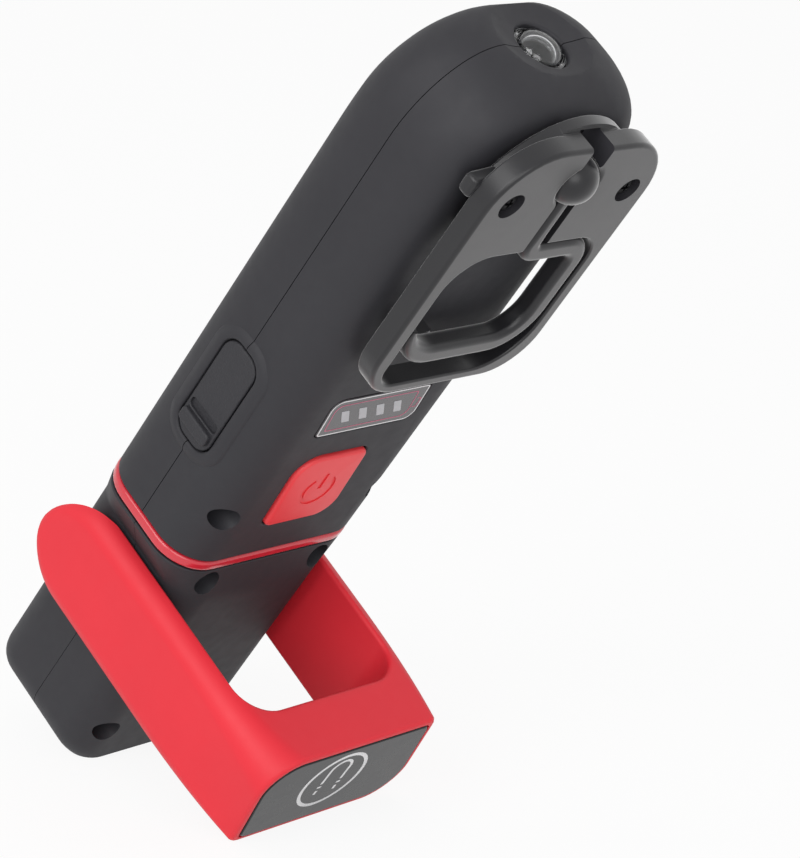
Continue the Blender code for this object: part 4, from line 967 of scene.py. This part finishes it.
def main_light():
    low, high = span("reflector")
    throat = FRONT + REFLECTOR_DISH
    rim = REFLECTOR_RIM
    edge = rim / 4
    rings = [lifted(light_outline(0), "Y", high.y)]
    rings += edge_rings(light_outline, "Y", low.y, edge, -1)
    drop = REFLECTOR_WIDTH / 2 - rim - STRIP_WIDTH / 2
    for share in spread_out(0.0, 1.0, TRAY_STEPS):
        half_a = REFLECTOR_WIDTH / 2 - rim - drop * share
        half_b = REFLECTOR_LENGTH / 2 - rim - (REFLECTOR_LENGTH / 2 - rim - STRIP_LENGTH / 2) * share
        level = low.y + (throat - low.y) * math.sin(math.pi / 2 * share) ** REFLECTOR_CURVE
        rings.append(lifted(stadium(half_a, half_b), "Y", level))
    rings.append(lifted(strip_outline(0), "Y", high.y))
    tray = loft("reflector_tray", rings, wrap=True)
    dress(tray, WHITE_TRAY, "white_reflector", "reflector")

    window = strip_slab("clear_window", "cob_window", WINDOW_EDGE)
    dress(window, CLEAR_PLASTIC, "clear", "cob_window")

    strip = strip_slab("phosphor_strip", "cob_phosphor", STRIP_EDGE)
    face = span("cob_phosphor")[0].y
    pitch = STRIP_LENGTH / (CHIP_COUNT + CHIP_MARGIN)
    profile = dome(CHIP_RADIUS, 0.0, -CHIP_RISE, EDGE_STEPS)
    profile += [(CHIP_RADIUS, CHIP_RISE), (0, CHIP_RISE)]
    chips = []
    for index in range(CHIP_COUNT):
        place = Vector((0, face, LIGHT_CENTRE + (index - (CHIP_COUNT - 1) / 2) * pitch))
        chips.append(turned("chip_" + str(index), profile, "Y", place, CHIP_STEPS))
    carve(strip, chips, "UNION")
    dress(strip, PHOSPHOR, "phosphor", "cob_phosphor")


# End torch

def torch():
    base = span("torch_lens")[0].z
    flange = HEAD_TOP - TORCH_LIP - GAP
    crown = HEAD_TOP + TORCH_RISE
    step_height = flange + TORCH_STEP
    bulge = TORCH_DOME * TORCH_BULGE
    profile = dome(bulge, step_height, crown, ARC_STEPS)
    profile.append((TORCH_DOME * LENS_GROOVE, step_height))
    profile.append((TORCH_DOME * LENS_RIDGE, step_height + TORCH_STEP / 2))
    profile += [(TORCH_DOME, step_height + TORCH_STEP / 3), (TORCH_DOME, flange)]
    profile += [(TORCH_RADIUS, flange), (TORCH_RADIUS, base)]
    profile += reversed(dome(bulge - LENS_WALL, base, crown - LENS_WALL, ARC_STEPS))
    dress(turned("torch_dome", profile, "Z", ORIGIN), CLEAR_PLASTIC, "clear", "torch_lens")

    low, high = span("torch_reflector")
    rim = TORCH_RADIUS - WALL / 3
    profile = [(rim, high.z), (TORCH_RADIUS, high.z), (TORCH_RADIUS, low.z), (TORCH_THROAT, low.z)]
    for share in spread_out(0.0, 1.0, CUP_STEPS)[1:-1]:
        radius = TORCH_THROAT + (rim - TORCH_THROAT) * math.sqrt(share)
        profile.append((radius, low.z + (high.z - low.z) * share))
    cup = turned("torch_cup", profile, "Z", ORIGIN, TORCH_FACETS, ring=True)
    dress(cup, CHROME, "aluminium", "torch_reflector")


# Controls

def power_button():
    low, high = span("power_button")
    neck = REAR - WALL - GAP
    flange = BUTTON_WIDTH / 2 - (high.x - low.x) / 2
    rings = [lifted(button_outline(flange), "Y", low.y), lifted(button_outline(flange), "Y", neck)]
    rings.append(lifted(button_outline(0), "Y", neck))
    top = high.y - BUTTON_CROWN
    rings += edge_rings(button_outline, "Y", top, BUTTON_EDGE)
    centre = Vector((CONTROL_SHIFT, BUTTON_CENTRE))
    for share in spread_out(0.0, 1.0, ARC_STEPS)[1:-1]:
        ring = [centre.lerp(point, 1 - share) for point in button_outline(BUTTON_EDGE)]
        rings.append(lifted(ring, "Y", top + BUTTON_CROWN * (1 - (1 - share) ** 2)))
    button = loft("button_cap", rings)
    floor = high.y - SYMBOL_DEPTH
    line = SYMBOL_LINE / 2
    sweep = arc(SYMBOL_RADIUS, 90 + SYMBOL_GAP, 450 - SYMBOL_GAP, SYMBOL_STEPS)
    stroke = [Vector((0, SYMBOL_RADIUS * share)) for share in (STROKE_FOOT, STROKE_TOP)]
    cuts = []
    for name, path in (("arc", sweep), ("stroke", stroke)):
        outline = shifted(ribbon(path, line), CONTROL_SHIFT, BUTTON_CENTRE)
        cuts.append(prism("symbol_" + name, outline, "Y", floor, REAR + CLEAR))
    carve(button, cuts)
    dress(button, BUTTON_RED, "red_rubber", "power_button", body="button")


def gauge_outline(inset):
    """Battery shape on the panel, with room for its terminal at the right."""
    half_a = PANEL_WIDTH / 2 - GAUGE_INSET - GAUGE_NUB / 2 - inset
    half_b = PANEL_HEIGHT / 2 - GAUGE_INSET - inset
    rounds = (PANEL_HEIGHT / 6, PANEL_HEIGHT / 14)
    return shifted(leaf(half_a, half_b, rounds, PANEL_HEIGHT / 10), GAUGE_NUB / 2, PANEL_CENTRE)


def battery_panel():
    low, high = span("battery_panel")
    plate = slab("panel_plate", panel_outline, "Y", low.y, high.y, 0.0, PANEL_EDGE)
    dress(plate, PANEL, "panel_grey", "battery_panel")
    face = high.y - PRINT
    top = high.y + PRINT
    rims = panel_outline(PANEL_EDGE), panel_outline(PANEL_EDGE + PANEL_LINE)
    dress(hoop("panel_border", *rims, "Y", face, top), SILVER_LINE, "panel_grey")
    line = hoop("gauge_line", gauge_outline(0), gauge_outline(GAUGE_LINE), "Y", face, top)
    dress(line, GAUGE_LINE_RED, "panel_grey")
    end = GAUGE_NUB + GAUGE_INSET - PANEL_WIDTH / 2
    tip = end - GAUGE_NUB
    half = PANEL_HEIGHT / 8
    corner = GAUGE_NUB / 3
    corners = [(end, half, 0), (tip, half, corner), (tip, -half, corner), (end, -half, 0)]
    nub = fillet(corners, closed=False)
    outline = ribbon(shifted(nub, 0, PANEL_CENTRE), GAUGE_LINE / 2)
    dress(prism("gauge_terminal", outline, "Y", face, top), GAUGE_LINE_RED, "panel_grey")
    for index in range(1, 5):
        centre = middle("indicator_led_" + str(index)).x + GAUGE_SHIFT

        def window(inset):
            outline = rounded_rect(GAUGE_WIDTH / 2 - inset, GAUGE_HEIGHT / 2 - inset, GAUGE_WIDTH / 10)
            return shifted([(a + b * GAUGE_LEAN, b) for a, b in outline], centre, PANEL_CENTRE)

        light = slab("gauge_window_" + str(index), window, "Y", face, top + PRINT, 0.0, PRINT)
        dress(light, GAUGE_WINDOW, "panel_grey")


def usb_flap():
    low, high = span("usb_cover")
    flap = slab("usb_flap_rubber", flap_outline, "X", low.x, high.x, 0.0, FLAP_EDGE)
    ridge_z = USB_CENTRE - TAB_DROP
    half = USB_WIDTH / 2

    def ridge(inset):
        radius = TAB_HEIGHT * TAB_ROUND - inset * TAB_DRAFT
        outline = rounded_rect(half * TAB_SHARE - inset, TAB_HEIGHT / 2 - inset, radius)
        return shifted(outline, 0, ridge_z)

    carve(flap, [slab("flap_tab", ridge, "X", low.x + GAP, high.x + TAB_RISE, 0.0, FLAP_EDGE)], "UNION")

    def groove(inset):
        radius = TAB_HEIGHT * TAB_ROUND - inset
        outline = rounded_rect(half * GROOVE_SHARE - inset, TAB_HEIGHT * GROOVE_HALF - inset, radius)
        return shifted(outline, 0, ridge_z + TAB_HEIGHT * GROOVE_RISE)

    carve(flap, [lipped("flap_groove", groove, "X", high.x - TAB_GROOVE, high.x, GROOVE_LIP)])
    dress(flap, FLAP_RUBBER, "flap_rubber", "usb_cover", body="usb_flap")


# Lower block

def grip_ring(height):
    half_x = HALF_GRIP - drawn_in(GRIP_FOOT - height, GRIP_FOOT, GRIP_FOOT, GRIP_FOOT)
    half_y = GRIP_DEPTH / 2
    radius = GRIP_CORNER
    if height > FLARE_BASE:
        share = min((height - FLARE_BASE) / (FLARE_TOP - FLARE_BASE), 1.0)
        half_x += (HALF_BODY - HALF_GRIP) * share
        half_y += (HALF_DEPTH - half_y) * share
        radius += (EDGE_RADIUS - radius) * share
    return half_x, half_y, radius


def grip_solid(name):
    heights = [GRIP_FOOT * (1 - math.cos(angle)) for angle in quarter(FOOT_STEPS)]
    count = round((FLARE_BASE - GRIP_FOOT) / RING_PITCH)
    heights += spread_out(GRIP_FOOT, FLARE_BASE, count)[1:]
    heights += spread_out(FLARE_BASE, FLARE_TOP, EDGE_STEPS)[1:]
    rings = []
    for height in heights:
        half_x, half_y, radius = grip_ring(height)
        rings.append(lifted(rounded_rect(half_x, half_y, radius, RUN_STEPS), "Z", height))
    for draw, rise in rounding(GAP):
        half_x, half_y, radius = grip_ring(GRIP_HEIGHT)
        outline = rounded_rect(half_x - draw, half_y - draw, radius - draw, RUN_STEPS)
        rings.append(lifted(outline, "Z", GRIP_HEIGHT - GAP + rise))
    return loft(name, rings)


def crown_space(name):
    """All space inside the block's rounded underside, which the stand swings round."""
    under = shifted(arc(PIVOT_Z, -90 - UNDER_ANGLE, UNDER_ANGLE - 90, CROWN_STEPS), 0, PIVOT_Z)
    outline = under + [Vector((under[-1].x, FAR)), Vector((under[0].x, FAR))]
    return prism(name, outline, "X", -FAR, FAR)


def grip_casing():
    for name in ("front", "rear"):
        grip = grip_solid(name + "_block")
        carve(grip, [crown_space(name + "_crown")], "INTERSECT")
        carve(grip, [half_space(name, GRIP_SPLIT)], "INTERSECT")
        cuts = [rod(name + "_cell_bore", "Z", ORIGIN, CELL_RADIUS, CELL_FLOOR - WALL / 2, FAR)]
        for side, sign in SIDES.items():
            low, high = sorted((sign * CELL_RADIUS, sign * FAR))
            cuts.append(rod(name + "_pin_bore_" + side, "X", PIVOT, PIN_BORE, low, high))
            low, high = sorted((sign * (HALF_GRIP - WASHER_DEPTH), sign * FAR))
            cuts.append(rod(name + "_washer_" + side, "X", PIVOT, WASHER_SEAT, low, high))
        cuts += [screw_hole("grip_screw_" + str(index), name) for index in range(1, 5)]
        carve(grip, cuts)
        dress(grip, SOFT_BLACK, "soft_black", "grip_" + name)


# Swinging stand, square to the body

def bail_section(reach, inset=0.0):
    """Outline of the stand's outside in X and Z at a distance from the pivot."""
    half_x = HALF_BODY - inset
    half_z = ARM_HALF - inset
    centre = ARM_HALF - ARM_TIP
    if reach < centre:
        half_z = math.sqrt(max(ARM_HALF ** 2 - (centre - reach) ** 2, (ARM_BLUNT * ARM_HALF) ** 2))
    start = TIP_EDGE - ARM_TIP
    if reach < start:
        dip = min(start - reach, TIP_EDGE * FULL_ROUND)
        half_x -= TIP_EDGE - math.sqrt(TIP_EDGE ** 2 - dip ** 2)
    share = max((reach - (BAIL_REACH - LEAF_RUN)) / LEAF_RUN, 0.0)
    share = min(share, 1.0) ** 2
    edge = min(ARM_EDGE, half_z * ARM_EDGE_SHARE)
    large = edge + (LEAF_ROUND - edge) * share - inset * share
    small = edge + (LEAF_SHARP - edge) * share
    outline = four_sided(half_x, half_z, large, small, LEAF_SHEAR * share, RUN_STEPS)
    return shifted(outline, 0, PIVOT_Z)


def bail_end(inset):
    return bail_section(BAIL_REACH, inset)


def bail_window(grow):
    inner = ARM_INNER + grow
    bar = BAR_INNER + grow
    corner = BAIL_CORNER + grow
    corners = [(inner, -FAR, GAP), (inner, bar, corner), (-inner, bar, corner), (-inner, -FAR, GAP)]
    return fillet(corners)


def window_cutter():
    """The opening between the arms, with rounded edges on the flat sides of the stand."""
    rings = [lifted(bail_window(BAIL_LIP), "Z", PIVOT_Z - ARM_HALF - CLEAR)]
    edges = [(BAIL_LIP - rise, draw) for draw, rise in rounding(BAIL_LIP)]
    for depth, grow in reversed(edges):
        rings.append(lifted(bail_window(grow), "Z", PIVOT_Z - ARM_HALF + depth))
    for depth, grow in edges:
        rings.append(lifted(bail_window(grow), "Z", PIVOT_Z + ARM_HALF - depth))
    rings.append(lifted(bail_window(BAIL_LIP), "Z", PIVOT_Z + ARM_HALF + CLEAR))
    return loft("bail_window", rings)


def arm_taper(side, sign):
    """Cone that keeps the arm's end clear of the block's flared shoulder as it swings."""
    slope = (HALF_BODY - HALF_GRIP) / SHOULDER_RISE
    near = FLARE_BASE - PIVOT_Z - GAP
    far = ARM_TIP + WALL
    cone = [(far, -WALL), (far, (far - near) * slope + BAIL_GAP), (near, BAIL_GAP), (near, -WALL)]
    cone = [(radius, sign * (HALF_GRIP + height)) for radius, height in cone]
    taper = turned("arm_taper_" + side, cone, "X", PIVOT, 2 * TURN_STEPS, ring=True)
    return carve(taper, [block("arm_end_" + side, (-FAR, -FAR, -FAR), (FAR, 0, FAR))], "INTERSECT")


def stand():
    centre = ARM_HALF - ARM_TIP
    turns = [math.radians(angle) for angle in spread_out(ARM_START, 90.0, ARM_STEPS)]
    reaches = [centre - ARM_HALF * math.cos(turn) for turn in turns]
    start = BAIL_REACH - LEAF_RUN
    count = round((start - centre) / RING_PITCH)
    reaches += spread_out(centre, start, count)[1:]
    edge = LEAF_SHARP / 2
    reaches += spread_out(start, BAIL_REACH - edge, LEAF_STEPS)[1:]
    rings = [lifted(bail_section(reach), "Y", reach) for reach in reaches]
    rings += edge_rings(bail_end, "Y", BAIL_REACH, edge)[1:]
    bail = loft("stand_bail", rings)
    cuts = [window_cutter()]
    for side, sign in SIDES.items():
        cuts.append(arm_taper(side, sign))
        low, high = sorted((sign * HALF_GRIP, sign * (ARM_INNER + PIN_DEPTH)))
        cuts.append(rod("arm_bore_" + side, "X", PIVOT, PIN_BORE, low, high))
    low, high = span("magnet")
    room = Vector((GAP, GAP, GAP))
    recess = grown(bail_end, -RIM)
    cuts.append(slab("cover_recess", recess, "Y", COVER_SEAT - GAP, BAIL_REACH + CLEAR))
    cuts.append(block("magnet_pocket", low - room, high + room))
    carve(bail, cuts)
    dress(bail, RED_RUBBER, "red_rubber", "bail", body="stand")


def magnet_cover():
    face = BAIL_REACH + COVER_PROUD
    cover = slab("cover_plate", grown(bail_end, -RIM - GAP), "Y", COVER_SEAT, face, 0.0, COVER_EDGE)
    dress(cover, COVER_GREY, "cover_grey", "magnet_cover", body="stand")
    centre = PIVOT_Z + BADGE_RISE

    def ring(radius):
        return shifted(arc(radius, 0, 360, BADGE_STEPS)[:-1], BADGE_SHIFT, centre)

    rims = ring(BADGE_RADIUS), ring(BADGE_RADIUS - BADGE_LINE)
    prints = [hoop("badge_ring", *rims, "Y", face - PRINT, face + PRINT)]
    foot = -ARCH_CENTRE - ARCH_FOOT
    arch = arc(ARCH_RADIUS, 0, 180, ARCH_STEPS)
    arch = [Vector((ARCH_RADIUS, foot))] + arch + [Vector((-ARCH_RADIUS, foot))]
    outline = shifted(ribbon(arch, ARCH_LINE / 2), BADGE_SHIFT, centre + ARCH_CENTRE)
    prints.append(prism("badge_arch", outline, "Y", face - PRINT, face + PRINT))
    for side, sign in SIDES.items():
        for index, (drop, wide, tall) in enumerate(ARCH_MARKS):
            mark = rounded_rect(ARCH_LINE * wide, ARCH_LINE * tall, ARCH_LINE * 0.2)
            mark = shifted(mark, BADGE_SHIFT + sign * ARCH_RADIUS, centre - ARCH_FOOT - ARCH_LINE * drop)
            name = "badge_mark_" + side + "_" + str(index)
            prints.append(prism(name, mark, "Y", face - PRINT, face + PRINT))
    for item in prints:
        dress(item, WHITE_PRINT, "cover_grey", body="stand")


# Hanger on the rear

def plate_outline(inset):
    half = PLATE_HALF - inset
    upper = PLATE_TOP_Z - inset
    lower = PLATE_TOP_Z - PLATE_LENGTH + inset
    corners = [(half, upper, PLATE_UPPER_ROUND), (-half, upper, PLATE_UPPER_ROUND),
               (-half, lower, PLATE_LOWER_ROUND), (half, lower, PLATE_LOWER_ROUND)]
    return fillet([(a, b, radius - inset) for a, b, radius in corners], runs=RUN_STEPS)


def opening_outline(inset):
    """The plate's opening, with the folded hook's slot at its right."""
    grow = -inset
    clear = HOOK_BAR / 2 + HOOK_SLACK
    right = -HOOK_RIGHT - HOOK_SLACK - grow
    left = OPENING_LEFT + grow
    upper = BALL.z - HOOK_NECK + clear + grow
    top = BALL.z - OPENING_TOP + grow
    low = BALL.z - OPENING_BOTTOM - grow
    return fillet([(right, upper, HOOK_BAR * 1.5 + grow), (right, low, HOOK_ROUND + clear + grow),
                   (left, low, PLATE_LOWER_ROUND * 0.5 + grow), (left, top, HOOK_ROUND + grow),
                   (clear, top, GAP), (clear, upper, GAP)])


def tier_outline(inset):
    """Disc under the plate's upper end, cut off below at the height of the side blocks."""
    points = arc(TIER_RADIUS - inset, TIER_CUT, 180 - TIER_CUT, 2 * TURN_STEPS)
    return shifted(points, 0, HEAD_TOP - TIER_DROP)


def lug_outline(sign):
    """Block that sticks out sideways under one upper corner of the plate."""

    def outline(inset):
        reach = PLATE_HALF + LUG_PROUD - inset
        root = PLATE_HALF - LUG_LENGTH
        top = PLATE_TOP_Z - LUG_DROP - inset
        low = PLATE_TOP_Z - LUG_DROP - LUG_HEIGHT + inset
        crest = top + LUG_SLOPE * (reach - root)
        corners = [(reach, low, LUG_EDGE), (reach, top, LUG_EDGE)]
        corners += [(root, crest, LUG_EDGE / 4), (root, low, LUG_EDGE / 4)]
        return [Vector((sign * point.x, point.y)) for point in fillet(corners)]

    return outline


def socket_lip():
    """Soft edge round the ball's socket."""
    mouth = math.sqrt((BALL_RADIUS + GAP) ** 2 - (PLATE_FACE - BALL.y) ** 2)
    profile = [(0, PLATE_FACE + CLEAR), (mouth + SOCKET_LIP, PLATE_FACE + CLEAR)]
    for draw, rise in reversed(rounding(SOCKET_LIP)):
        profile.append((mouth + draw, PLATE_FACE - SOCKET_LIP + rise))
    profile.append((0, PLATE_FACE - SOCKET_LIP))
    return turned("socket_lip", profile, "Y", Vector((BALL.x, 0, BALL.z)))


def hook_plate():
    plate = slab("hanger_plate", plate_outline, "Y", PLATE_BACK, PLATE_FACE, PLATE_EDGE / 2, PLATE_EDGE)
    edge = PLATE_EDGE / 2
    joins = [slab("plate_tier", tier_outline, "Y", REAR + GAP, PLATE_BACK + GAP, edge, edge)]
    chord = HEAD_TOP - TIER_DROP + TIER_RADIUS * math.sin(math.radians(TIER_CUT))
    joins.append(block("plate_stem", (-TIER_STEM, REAR + GAP, chord - TIER_STEM_HEIGHT + WALL),
                       (TIER_STEM, PLATE_BACK + GAP, chord + WALL)))
    for side, sign in SIDES.items():
        joins.append(slab("plate_lug_" + side, lug_outline(sign), "Y", REAR + GAP, PLATE_BACK + GAP,
                          LUG_EDGE, LUG_EDGE))
    carve(plate, joins, "UNION")

    clear = HOOK_BAR / 2 + HOOK_SLACK
    floor = BALL.y - HOOK_BAR / 2 - GAP
    neck = BALL.z - HOOK_NECK - HOOK_BAR
    well = BALL.z - BALL_RADIUS - HOOK_BAR / 2
    wall = HEAD_TOP - TIER_DROP + TIER_RADIUS - TIER_WALL
    cuts = [lipped("plate_window", opening_outline, "Y", PLATE_BACK - WALL, PLATE_FACE, OPENING_LIP),
            block("neck_channel", (-clear, floor, neck), (clear, FAR, HEAD_TOP + FAR)),
            block("neck_well", (-clear, REAR, well), (clear, FAR, wall)),
            block("ledge_trim", (-FAR, floor, PLATE_TOP_Z + GAP / 10), (FAR, FAR, FAR)),
            socket_lip(), ball("ball_socket", BALL, BALL_RADIUS + GAP)]
    cuts += [screw_hole("hook_screw_" + side, "plate") for side in SIDES]
    carve(plate, cuts)
    dress(plate, SATIN_GREY, "satin_grey", "hook_plate")

    # Painted shade: faces below the plate's face in the neck well and round the screw seats take the
    # casing's black.
    holes = [middle("hook_screw_" + side) for side in SIDES]

    def in_painted_shade(point):
        if point.y > PLATE_FACE - TINY or point.y < REAR + GAP + TINY:
            return False
        if abs(point.x) < clear + TINY and well < point.z < wall + TINY:
            return True
        reach = min(math.hypot(point.x - hole.x, point.z - hole.z) for hole in holes)
        return reach < SCREW_SEAT_RADIUS + TINY

    paint_recess_shade(plate, in_painted_shade)


def hook_rings():
    """Rounded sections along the folded hook, narrow at its neck and drawn in from within at its tip."""
    right = HOOK_BAR / 2 - HOOK_RIGHT
    left = HOOK_LEFT - HOOK_BAR / 2
    low = HOOK_BAR / 2 - HOOK_REACH
    corners = [(0, 0, 0), (0, -HOOK_NECK, HOOK_BAR * 0.6), (right, -HOOK_NECK, HOOK_BAR),
               (right, low, HOOK_ROUND), (left, low, HOOK_ROUND), (left, -HOOK_TIP, 0)]
    path = fillet(corners, closed=False, runs=HOOK_RUNS)
    full = HOOK_BAR / 2
    half = full
    rings = []
    for index, point in enumerate(path):
        along = (path[min(index + 1, len(path) - 1)] - path[max(index - 1, 0)]).normalized()
        share = min(max(-point.y / HOOK_NECK, 0.0), 1.0)
        half = (HOOK_NECK_WIDTH + (HOOK_BAR - HOOK_NECK_WIDTH) * share ** HOOK_NECK_POWER) / 2
        offset = 0.0
        if point.x > 0 and point.y < -HOOK_NECK:
            share = (point.y - low) / (-HOOK_TIP - low)
            half = full * (1 - HOOK_TAPER * max(share, 0.0) ** HOOK_TAPER_POWER)
            offset = half - full
        rings.append(hook_section(point, along, half, full, offset))
    end = path[-1]
    up = Vector((0, 1))
    for angle in spread_out(0.0, HOOK_TIP_TURN, TIP_STEPS)[1:]:
        size = math.cos(angle)
        place = end + up * half * math.sin(angle)
        rings.append(hook_section(place, up, half * size, full * size, half - full))
    return rings


def hook_section(point, along, half, thick, offset):
    across = Vector((-along.y, along.x))
    edge = min(HOOK_EDGE, half * HOOK_EDGE_SHARE, thick * HOOK_EDGE_SHARE)
    section = []
    for a, b in rounded_rect(half, thick, edge):
        place = point + across * (a + offset)
        section.append(Vector((BALL.x + place.x, BALL.y + b, BALL.z + place.y)))
    return section


def hook():
    bar = loft("hanger_hook", hook_rings())
    carve(bar, [ball("hook_ball", BALL, BALL_RADIUS)], "UNION")
    dress(bar, SATIN_GREY, "satin_grey", "hook", body="hanging_hook")


# Studio

CAMERA_PLACE = Vector((441.55, 254.81, 472.26)) * MM
CAMERA_BACK = Vector((0.72046, 0.37805, 0.58139))
CAMERA_UP = Vector((-0.14507, -0.73764, 0.65943))
FOCAL_PIXELS = 3066.0
PICTURE_HEIGHT = 858.0
SENSOR = 36.0


def camera():
    """The photograph's camera, fitted to the upright light and leaned over with it."""
    data = bpy.data.cameras.new("camera")
    data.sensor_width = SENSOR
    data.lens = SENSOR * FOCAL_PIXELS / PICTURE_HEIGHT
    data.clip_start = 0.01
    data.clip_end = 50.0
    item = add_to_scene("camera", data)
    back = CAMERA_BACK.normalized()
    right = CAMERA_UP.cross(back).normalized()
    up = back.cross(right)
    pose = Matrix((right, up, back)).transposed().to_4x4()
    pose.translation = CAMERA_PLACE
    item.matrix_world = UPRIGHT @ pose
    bpy.context.scene.camera = item


def seen(tree):
    """1 where the camera, a mirror or a clear piece looks, and 0 where light is gathered."""
    path = shader_node(tree, "LightPath")
    total = path.outputs["Is Camera Ray"]
    for name in ("Is Glossy Ray", "Is Transmission Ray"):
        joined = shader_node(tree, "Math", "MAXIMUM")
        tree.links.new(total, joined.inputs[0])
        tree.links.new(path.outputs[name], joined.inputs[1])
        total = joined.outputs[0]
    return total


FLOOR_SIZE = 6.0
FLOOR_GLOW = 0.9
WORLD_LIGHT = 0.68
# Lamps: place and size in metres, power in watts
LAMPS = {"key": ((1.3, 0.25, 0.8), 1.1, 10.5), "fill": ((0.75, 1.0, 0.3), 0.9, 5.0)}


def floor():
    bm = bmesh.new()
    bmesh.ops.create_grid(bm, x_segments=8, y_segments=8, size=FLOOR_SIZE / 2)
    item = finish_mesh("studio_floor", bm)
    material = surface("floor_white", (0.9, 0.9, 0.9), 0.9, patch=3.0, spread=0.01, Specular_IOR_Level=0.0)
    tree = material.node_tree
    output = tree.nodes["Material Output"]
    shader = tree.nodes["Principled BSDF"]
    glow = shader_node(tree, "Emission")
    mix = shader_node(tree, "MixShader")
    share = shader_node(tree, "Math", "MULTIPLY")
    share.inputs[1].default_value = FLOOR_GLOW
    tree.links.new(seen(tree), share.inputs[0])
    tree.links.new(share.outputs[0], mix.inputs["Fac"])
    tree.links.new(shader.outputs["BSDF"], mix.inputs[1])
    tree.links.new(glow.outputs["Emission"], mix.inputs[2])
    tree.links.new(mix.outputs["Shader"], output.inputs["Surface"])
    item.data.materials.append(material)


def area_light(name, place, target, size, power):
    data = bpy.data.lights.new(name, "AREA")
    data.shape = "DISK"
    data.size = size
    data.energy = power
    item = add_to_scene(name, data)
    item.location = place
    aim = Vector(target) - Vector(place)
    item.rotation_euler = aim.to_track_quat("-Z", "Y").to_euler()


def lights():
    low, high = CAD_BOX
    centre = (low + high) / 2
    for name, (place, size, power) in LAMPS.items():
        area_light(name, place, centre, size, power)
    world = bpy.data.worlds.new("studio")
    bpy.context.scene.world = world
    world.use_nodes = True
    tree = world.node_tree
    background = tree.nodes["Background"]
    strength = shader_node(tree, "MapRange", To_Min=WORLD_LIGHT, To_Max=1.0)
    tree.links.new(seen(tree), strength.inputs["Value"])
    background.inputs["Color"].default_value = (1.0, 1.0, 1.0, 1.0)
    tree.links.new(strength.outputs["Result"], background.inputs["Strength"])


finish_cad_nodes()
head_casing()
band()
grip_casing()
screws()
main_light()
torch()
power_button()
battery_panel()
usb_flap()
stand()
magnet_cover()
hook_plate()
hook()
camera()
floor()
lights()
bpy.context.scene.view_settings.view_transform = "Standard"
